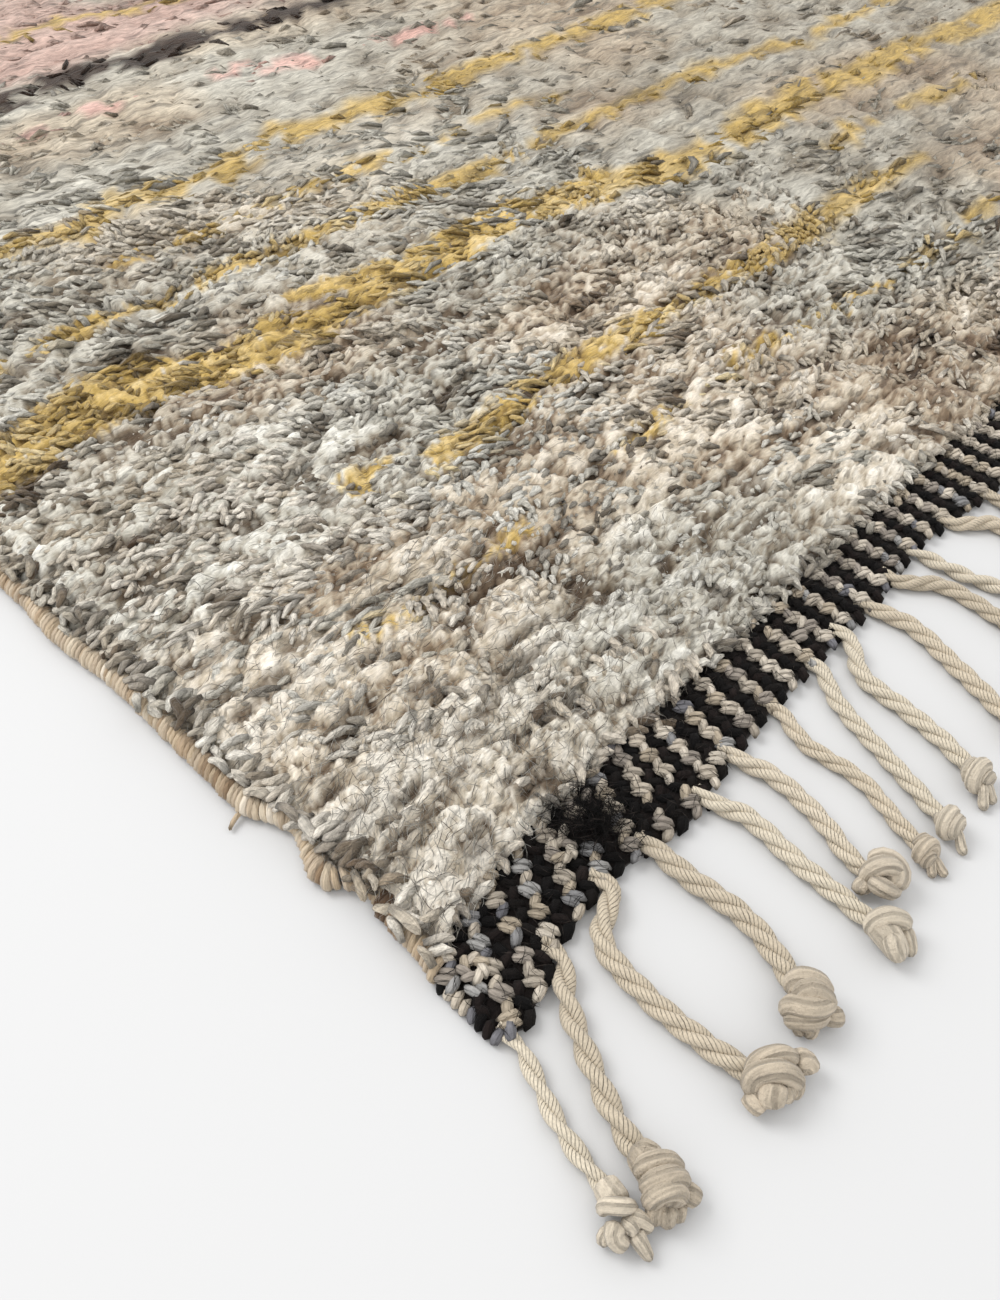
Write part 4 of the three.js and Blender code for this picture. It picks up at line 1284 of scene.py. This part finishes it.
# Half thickness, sides and rings of each wrap, and a thread's end as a lock
WRAP_SHAPES = ((2.1, 6, 7), (2.4, 6, 7), (2.2, 4, 4))
STUB_SHAPE = (6, -8, 40, 13, 1.4, 0.75, 6, 4)
WRAP, THICK_WRAP, PLAIN_WRAP, STUB = range(len(WRAP_SHAPES) + 1)


def wrap_shape(name, half, sides, rings):
    """One turn of overcasting over the edge: from the rim over the crest down to the floor."""
    turn = np.radians(np.linspace(150, -68, rings))
    path = np.stack([4.9 * np.cos(turn), 1.3 * np.linspace(-1, 1, rings), 3.2 * np.sin(turn)], -1)
    return yarn_shape(name, path, half, sides)


class RUG_OT_selvedges(bpy.types.Operator):
    """Winds the overcast edges of the long sides"""

    bl_idname = "rug.selvedges"
    bl_label = "Selvedges"

    def execute(self, context):
        wool = yarn_material(**EDGE_WOOL)
        for name, node, edge, facing in (
            ("overcast_selvedge_left", "selvedge_left", left_edge, 180),
            ("overcast_selvedge_right", "selvedge_right", right_edge, 0),
        ):
            finish_piece(self.wind(name, edge, facing, wool), node)
        return {"FINISHED"}

    def wind(self, name, edge, facing, wool):
        """Turns side by side along one edge, leaning a little and each a different shade."""
        rng = np.random.default_rng(61 + facing)
        near = 26 if facing else 44
        along = np.arange(near, RUG_LENGTH - 42, bpy.context.scene.rug_edges.wrap_pitch / MM)
        count = len(along)
        along = along + rng.normal(0, 0.35, count)
        outside = edge(along)
        outwards = -1 if facing else 1
        inset = 7.3 + 0.5 * soft_noise(0 * along, along, 14, 64)
        places = on_rug(outside - outwards * inset, along, 4.8 + rng.normal(0, 0.25, count))
        heading = math.radians(facing) - np.arctan(np.gradient(outside, along)) + math.radians(12)
        turns = np.stack([rng.normal(0, 0.06, count), rng.normal(0, 0.08, count), heading], -1)
        shaded = 0.45 * np.exp(-((along - BROWN_WRAPS) / 13) ** 2) if facing else 0
        shade = np.clip(0.56 - shaded + 0.17 * soft_noise(0 * along, along, 26, 63)
                        + rng.normal(0, 0.14, count), 0, 0.999)
        tints = np.array([hex_color(SELVEDGE_SHADES[int(s * len(SELVEDGE_SHADES))]) for s in shade])
        sizes = rng.uniform(0.9, 1.08, count)
        kinds = np.where(rng.random(count) < 0.35, THICK_WRAP, WRAP)
        kinds = np.where((along > SEEN_CLOSE) | (facing == 0), PLAIN_WRAP, kinds)
        if facing:
            # One end of the thread sticks out
            places = np.vstack([places, on_rug(*STUB_TIP, 3.2)])
            turns = np.vstack([turns, (0, 0.12, math.radians(212))])
            tints = np.vstack([tints, hex_color(SELVEDGE_SHADES[3])])
            sizes, kinds = np.append(sizes, 1.0), np.append(kinds, STUB)
        shapes = [wrap_shape(f"{name}_{number}", *shape) for number, shape in enumerate(WRAP_SHAPES)]
        shapes.append(lock_shape(f"{name}_{STUB}", *STUB_SHAPE))
        piece = lay_yarn(name, places, turns, sizes, kinds, tints, shapes, wool,
                         spread=0.04, jitter=3, seed=6)
        keep_between(piece, EDGE_UNDERSIDE, PILE_TOP)
        return piece


# The cord fringe

CORD_SHADES = ("CCC0AC", "C6B9A4", "D0C5B1", "C0B39E")
CORD_ROOT_HEIGHT = 0.8
KNOT_TINT = np.array([0.93, 0.92, 0.93])
CORD_FULLNESS = 1.12
# Length of one turn of a ply, and its share of the cord's thickness, by the number of plies
PLY_LAYS = {2: (35, 0.54), 3: (43, 0.5)}
# How far a cord's root reaches into the band, and how far apart the rings of its plies are
ROOT_DEPTH = 9
CLOSE_STEP = 2.6
PLAIN_STEP = 7
KNOT_STEP = 1.4

# Folds and ends of the knots that are seen closest, by the cord's station: thickness at the
# start and the end, and the course as across, out and height
KNOTS = {
    0: (
        (5.0, 6.6, ((-12, 80, 7), (-14, 85, 8), (-16, 90, 8.5))),
        (3.2, 3.2, ((-20, 86, 4), (-19, 87, 11), (-17, 91, 14.5), (-14, 93, 11), (-12, 94, 4))),
        (3.0, 2.6, ((-23, 93, 7), (-26, 92, 5), (-28, 94, 3))),
        (4.4, 3.8, ((-20, 93, 9), (-24, 95, 8), (-23, 100, 4.5))),
        (3.4, 3.0, ((-18, 94, 11), (-18, 98, 9), (-20, 98, 7))),
        (3.8, 3.2, ((-16, 94, 10), (-14, 98, 8), (-12, 103, 4))),
        (3.8, 2.2, ((-18, 99, 8), (-19, 104, 5), (-20, 109, 2.6))),
    ),
    4: (
        (6.6, 8.4, ((5, 81, 7.5), (3, 92, 8.5), (0, 100, 9), (-4, 103, 8))),
        (4.0, 3.6, ((5, 82, 11), (7, 87, 10), (8, 90, 7))),
        (4.2, 4.2, ((-1, 88, 6), (2, 90, 15), (7, 94, 14), (10, 99, 7))),
        (4.4, 4.2, ((-4, 93, 7), (-1, 96, 17), (4, 99, 15), (8, 103, 7))),
        (4.4, 4.0, ((-7, 97, 6), (-4, 99, 17), (1, 102, 14), (3, 106, 7))),
        (4.6, 3.2, ((-4, 99, 10), (-8, 101, 7), (-10, 102, 3.5))),
        (4.6, 3.0, ((-3, 103, 10), (-6, 105, 6), (-6, 107, 3))),
        (4.0, 2.8, ((0, 105, 8), (-2, 107, 5), (-4, 108, 3))),
        (4.6, 4.0, ((4, 102, 8), (6, 106, 6.5), (7, 110, 4.2))),
    ),
    8: (
        (4.6, 4.4, ((57, 99, 7), (61, 98, 14), (68, 102, 15), (74, 108, 11))),
        (5.6, 5.2, ((73, 107, 10), (76, 111, 8.5), (75, 114, 5.6))),
        (5.0, 4.8, ((52, 102, 6), (56, 100, 14), (62, 105, 16.5), (66, 110, 12), (68, 114, 6))),
        (6.6, 6.2, ((60, 106, 13), (56, 108, 10), (54, 110, 6.4))),
        (5.2, 4.8, ((52, 101, 8), (51, 105, 6.5), (52, 109, 5))),
        (4.0, 3.0, ((63, 109, 12), (62, 112, 8), (60, 113, 3.4))),
        (3.6, 2.8, ((68, 112, 10), (66, 114, 6), (63, 114, 3))),
    ),
    11: (
        (6.4, 6.2, ((99, 91, 8), (101, 92, 15), (103, 97, 16), (104, 102, 10))),
        (5.4, 5.2, ((95, 95, 12), (98, 97, 19), (101, 102, 15), (102, 104, 8))),
        (5.0, 5.0, ((90, 93, 5.4), (91, 95, 13), (92, 101, 18), (100, 104, 13), (107, 102, 7))),
        (4.4, 4.2, ((89, 96, 4.6), (88, 100, 12), (91, 104, 13), (100, 106, 8))),
        (4.4, 4.6, ((99, 105, 8), (102, 109, 6), (105, 111, 4.8))),
        (3.8, 3.2, ((90, 101, 8), (92, 105, 5), (88, 105, 3.2))),
        (3.2, 2.6, ((90, 100, 6), (89, 101, 4), (88, 104, 2.8))),
    ),
    15: (
        (4.6, 4.4, ((147, 101, 5), (148, 100, 13), (152, 103, 16), (157, 108, 12), (159, 110, 6))),
        (7.6, 5.2, ((152, 99, 9), (148, 106, 10), (146, 112, 8), (143, 116, 5.4))),
        (5.0, 3.8, ((147, 108, 14), (144, 112, 11), (144, 116, 5))),
        (4.2, 2.8, ((157, 110, 8), (154, 115, 5.5), (150, 119, 3))),
    ),
    18: (
        (7.4, 6.8, ((174, 85, 9), (177, 88, 13), (177, 94, 11), (171, 96, 7.4))),
        (4.8, 4.6, ((168, 86, 5), (169, 86, 14), (172, 89, 18), (177, 94, 13), (178, 97, 6))),
        (4.6, 4.2, ((166, 88, 11), (165, 93, 13), (170, 97, 8), (176, 96, 6))),
        (4.6, 4.0, ((167, 88, 9), (164, 86, 6), (161, 87, 4.2))),
    ),
}


def smooth_course(points, step):
    """A centripetal curve through points, resampled at even steps."""
    points = np.asarray(points, float)
    ends = np.vstack([2 * points[0] - points[1], points, 2 * points[-1] - points[-2]])
    line = []
    for one in range(len(ends) - 3):
        mixed = ends[one:one + 4]
        times = run_lengths(mixed, power=0.5)
        t = np.linspace(times[1], times[2], 24, endpoint=False)[:, None]
        for spans in (((0, 1), (1, 2), (2, 3)), ((0, 2), (1, 3)), ((1, 2),)):
            mixed = [((times[b] - t) * low + (t - times[a]) * high) / (times[b] - times[a])
                     for (a, b), low, high in zip(spans, mixed, mixed[1:])]
        line += mixed
    line = np.vstack(line + [points[-1:]])
    length = run_lengths(line)
    even = np.linspace(0, length[-1], max(3, int(round(length[-1] / step)) + 1))
    return np.stack([np.interp(even, length, line[:, axis]) for axis in range(line.shape[1])], -1)


def plain_cord(station):
    """The course of a cord that is not in the table."""
    root = (station + 0.5) * STATION
    own_lean, own_length, own_half, own_turn = (
        float(scatter(station + shift)) for shift in (0, 0.3, 0.7, 0.9))
    lean = 27 + 11 * math.sin(station / 5) + 5 * own_lean
    length = 94 + 7 * math.sin(station / 3.1) + 6 * own_length
    bow = 7 * math.sin(station / 4 + 1)
    route = ((root - 0.1 * lean + bow, 0.24 * length), (root - 0.45 * lean + bow, 0.55 * length),
             (root - 0.85 * lean, 0.84 * length))
    tail_turn = 30 * (own_turn - 0.5)
    return (station, 4.3 + 0.5 * (own_half - 0.5), route, (root - lean, length),
            3 if station % 3 else 2, 0.97, (tail_turn - 14, tail_turn + 18))


def cord_list(placed, first_station):
    """All cords of one end: the placed ones first, then the others in their rhythm."""
    cords = list(placed)
    station = placed[-1][0] + CORD_RHYTHM[0] if placed else first_station
    beat = 1
    while station < STATIONS:
        cords.append(plain_cord(station))
        station += CORD_RHYTHM[beat % len(CORD_RHYTHM)]
        beat += 1
    return cords


class RUG_OT_cord_fringe(bpy.types.Operator):
    """Plies the warp ends into cords and knots them"""

    bl_idname = "rug.cord_fringe"
    bl_label = "Cord fringe"

    def execute(self, context):
        wool, teased = cord_wool(), yarn_material(**KNOT_WOOL)
        for name, node, placed, first, stray, far in (
            ("warp_cords_near", "cord_fringe_near", CORDS, 0, near_stray, False),
            ("warp_cords_far", "cord_fringe_far", (), 1, far_stray, True),
        ):
            cords, knots = Yarns(), Yarns()
            rng = np.random.default_rng(71 if far else 70)
            for number, cord in enumerate(cord_list(placed, first)):
                self.ply_cord(cords, knots, cord, stray, rng, close=number < len(placed))
            for yarns, own_name, own_wool in ((cords, name, wool), (knots, name + "_knots", teased)):
                if far:
                    yarns.points = [at_far_end(points) for points in yarns.points]
                finish_piece(yarns.build(own_name, own_wool), node)
        return {"FINISHED"}

    def ply_cord(self, cords, knots, cord, stray, rng, close):
        """The plies of one cord, wound round its course from the band to the knot."""
        station, half, route, knot, plies, knot_size, tails = cord
        half = half * bpy.context.scene.rug_edges.cord_fullness
        root = (station + 0.5) * STATION
        root_out = float(stray(np.float64(root)))
        flat = smooth_course([(root, root_out - ROOT_DEPTH), (root, root_out + 3), *route, knot],
                             CLOSE_STEP if close else PLAIN_STEP)
        length = run_lengths(flat)
        to_knot = length[-1] - length
        thick = half * (0.82 + 0.18 * smooth_step(4, 22, length))
        thick = thick * (1 - 0.12 * smooth_step(CORD_NECK * 1.5, CORD_NECK * 0.5, to_knot))
        height = thick + CORD_ROOT_HEIGHT * np.exp(-np.clip(length - ROOT_DEPTH, 0, None) / 7)
        height = height + 0.75 * half * knot_size * (1 - smooth_step(0, 15, to_knot))
        heading = np.gradient(flat, axis=0)
        heading /= np.linalg.norm(heading, axis=1)[:, None]
        leftward = np.stack([-heading[:, 1], heading[:, 0]], -1)
        pitch, share = PLY_LAYS[plies]
        tint = pick_shade(CORD_SHADES, rng) * rng.uniform(0.95, 1.04)
        start = rng.uniform(0, 2 * math.pi)
        for ply in range(plies):
            turn = start + 2 * math.pi * (length / pitch + ply / plies)
            offset = thick * (1 - share)
            out = flat + leftward * (offset * np.cos(turn))[:, None]
            path = np.column_stack([out, height + offset * np.sin(turn)])
            self.lay_tube(cords, path, thick * share, 8 if close else 4, tint, uv_length=1.0)
        tint = tint * KNOT_TINT
        if close and station in KNOTS:
            for first, last, points in KNOTS[station]:
                self.lay_strand(knots, first, last, points, tint * rng.uniform(0.9, 1.04))
        else:
            self.tie_knot(knots, flat[-1], heading[-1], half * knot_size, tails, tint, rng, close)

    def lay_strand(self, yarns, first, last, points, tint):
        """One fold or one end of a listed knot, rounded off where it starts and stops."""
        path = smooth_course(points, KNOT_STEP)
        steps = np.linspace(0, 1, len(path))
        radii = (first + (last - first) * steps) * np.sqrt(1 - 0.85 * np.abs(2 * steps - 1) ** 5)
        path[:, 2] = np.maximum(path[:, 2], radii * 0.95 + 0.1)
        self.lay_tube(yarns, path, radii, 10, tint)

    def lay_tube(self, yarns, path, radii, sides, tint, uv_length=None):
        """A tube along a path that is given as across, out and height."""
        points = on_rug(path[:, 0], -path[:, 1], path[:, 2])
        yarns.tube(points, radii * MM, sides, tint=tint, uv_length=uv_length)

    def tie_knot(self, yarns, middle, heading, unit, tails, tint, rng, close):
        """Turns of the cord drawn tight round itself, with the blunt ends of its plies beyond."""
        onward = np.array([heading[0], heading[1], 0])
        leftward = np.array([-heading[1], heading[0], 0])
        upward = np.array([0, 0, 1])
        centre = np.array([middle[0], middle[1], 1.85 * unit])
        hand = 1 if rng.random() < 0.5 else -1
        start = rng.uniform(0, 2 * math.pi)
        wraps = 2.2 if close else 1.7
        share = np.linspace(0, 1, 30 if close else 9)
        swell = np.sin(math.pi * share) ** 0.6
        turn = start + hand * 2 * math.pi * wraps * share
        round_it = unit * (0.35 + 0.62 * swell)
        forward = unit * (2.3 * (share - 0.5) + 0.42 * np.cos(turn + 0.7) * swell)
        path = (centre + forward[:, None] * onward
                + (round_it * np.cos(turn))[:, None] * leftward
                + (0.94 * round_it * np.sin(turn))[:, None] * upward)
        self.lay_tube(yarns, path, unit * (0.6 + 0.3 * swell), 9 if close else 5, tint)
        front = centre + onward * unit * 0.9
        for number, direction in enumerate(tails):
            way_turn = math.radians(direction)
            way = onward * math.cos(way_turn) + leftward * math.sin(way_turn)
            reach = unit * rng.uniform(1.7, 2.5) + (3 if len(tails) > 2 else 0)
            steps = np.linspace(0, 1, 8 if close else 4)
            path = front + way * (reach * steps)[:, None] + leftward * (unit * 0.25 * (number - 0.5))
            low = 0.62 * unit
            path[:, 2] = low + (centre[2] - low) * (1 - smooth_step(0.1, 0.85, steps))
            blunt = np.sqrt(np.clip(1 - (np.clip(steps - 0.7, 0, 1) / 0.34) ** 2, 0.1, 1))
            radii = 0.56 * unit * (0.85 + 0.25 * steps) * blunt
            self.lay_tube(yarns, path, radii, 8 if close else 4, tint * 1.03)


# The studio

CAMERA_PLACE = (-0.984, -1.342, 0.430)
CAMERA_TURN = (43.533, 0, -46.872)
CAMERA_LENS = 29.73
FLOOR_HALF = 9
LAMP_PLACE = (-1.4, 0.9, 2.5)
LAMP_AIM = (-0.45, -0.8, 0)
LAMP_SIZE = 1.6


class RUG_OT_studio(bpy.types.Operator):
    """Sets the pale floor, the soft lights and the camera"""

    bl_idname = "rug.studio"
    bl_label = "Studio"

    def execute(self, context):
        settings = context.scene.rug_studio
        paper, _ = new_material("pale studio paper", Base_Color=(*settings.floor_color, 1), Roughness=0.9,
                                Specular_IOR_Level=0.1)
        corners = [(x * FLOOR_HALF, y * FLOOR_HALF, 0) for x, y in ((-1, -1), (1, -1), (1, 1), (-1, 1))]
        make_object("studio_floor", corners, [(0, 1, 2, 3)], material=paper)
        world = context.scene.world or bpy.data.worlds.new("studio_sky")
        context.scene.world = world
        world.use_nodes = True
        background = world.node_tree.nodes.get("Background")
        if background is None:
            raise RuntimeError("the world has no background")
        background.inputs["Color"].default_value = (1, 1, 1, 1)
        background.inputs["Strength"].default_value = settings.sky_strength
        context.scene.view_settings.view_transform = "Standard"
        light = link_object("key_light", bpy.data.lights.new("key_light", "AREA"))
        light.data.energy = settings.key_power
        light.data.size = LAMP_SIZE
        light.location = LAMP_PLACE
        light.rotation_euler = (Vector(LAMP_AIM) - Vector(LAMP_PLACE)).to_track_quat("-Z", "Y").to_euler()
        camera = link_object("camera", bpy.data.cameras.new("camera"))
        camera.data.lens = CAMERA_LENS
        camera.data.sensor_width = 36
        camera.data.clip_start = 0.02
        camera.location = CAMERA_PLACE
        camera.rotation_euler = [math.radians(angle) for angle in CAMERA_TURN]
        context.scene.camera = camera
        return {"FINISHED"}


# The add-on's settings and panel

class RugPileSettings(bpy.types.PropertyGroup):
    lock_size: bpy.props.FloatProperty(
        name="Lock size", description="Size of the locks against their own shapes",
        default=1.0, min=0.6, max=1.6, subtype="FACTOR")
    mustard_color: bpy.props.FloatVectorProperty(
        name="Mustard", description="Middle shade of the dyed lines", subtype="COLOR",
        default=hex_color(WOOLS["mustard"][2]), min=0, max=1)
    # Painted shade of the furrows where the locks part
    furrow_painted_shade: bpy.props.FloatVectorProperty(
        name="Furrows", description="Shade of the wool where the locks part", subtype="COLOR",
        default=hex_color(FURROW_PAINTED_SHADE), min=0, max=1)


class RugEdgeSettings(bpy.types.PropertyGroup):
    float_lean: bpy.props.FloatProperty(
        name="Lean of the floats", description="How far the floats of the bands lean off their row",
        default=math.radians(46), min=0, max=math.radians(80), subtype="ANGLE")
    wrap_pitch: bpy.props.FloatProperty(
        name="Wrap pitch", description="Distance from one turn of overcasting to the next",
        default=WRAP_PITCH * MM, min=2 * MM, max=12 * MM, unit="LENGTH")
    cord_fullness: bpy.props.FloatProperty(
        name="Cord fullness", description="Thickness of the cords against their measured one",
        default=CORD_FULLNESS, min=0.6, max=1.4, subtype="FACTOR")


class RugStudioSettings(bpy.types.PropertyGroup):
    floor_color: bpy.props.FloatVectorProperty(
        name="Floor", description="Colour of the studio paper", subtype="COLOR",
        default=hex_color("C9C9C9"), min=0, max=1)
    sky_strength: bpy.props.FloatProperty(
        name="Sky", description="Strength of the even light from all round", default=1.2, min=0)
    key_power: bpy.props.FloatProperty(
        name="Key light", description="Power of the large lamp", default=54, min=0, unit="POWER")


OPERATORS = (RUG_OT_studio, RUG_OT_ground_weave, RUG_OT_pile, RUG_OT_end_bands, RUG_OT_selvedges,
             RUG_OT_cord_fringe)


class RUG_PT_panel(bpy.types.Panel):
    bl_label = "Rug"
    bl_idname = "RUG_PT_panel"
    bl_space_type = "VIEW_3D"
    bl_region_type = "UI"
    bl_category = "Rug"

    def draw(self, context):
        for operator in OPERATORS:
            self.layout.operator(operator.bl_idname)
        for group, settings in SETTINGS.items():
            for setting in settings.__annotations__:
                self.layout.prop(getattr(context.scene, group), setting)


SETTINGS = {"rug_pile": RugPileSettings, "rug_edges": RugEdgeSettings, "rug_studio": RugStudioSettings}
CLASSES = (*SETTINGS.values(), *OPERATORS, RUG_PT_panel)


def register():
    for cls in CLASSES:
        bpy.utils.register_class(cls)
    for group, settings in SETTINGS.items():
        setattr(bpy.types.Scene, group, bpy.props.PointerProperty(type=settings))


def unregister():
    for group in SETTINGS:
        delattr(bpy.types.Scene, group)
    for cls in reversed(CLASSES):
        bpy.utils.unregister_class(cls)


def main():
    register()
    bpy.ops.rug.studio()
    bpy.ops.rug.ground_weave()
    bpy.ops.rug.pile()
    bpy.ops.rug.end_bands()
    bpy.ops.rug.selvedges()
    bpy.ops.rug.cord_fringe()


if __name__ == "__main__":
    main()
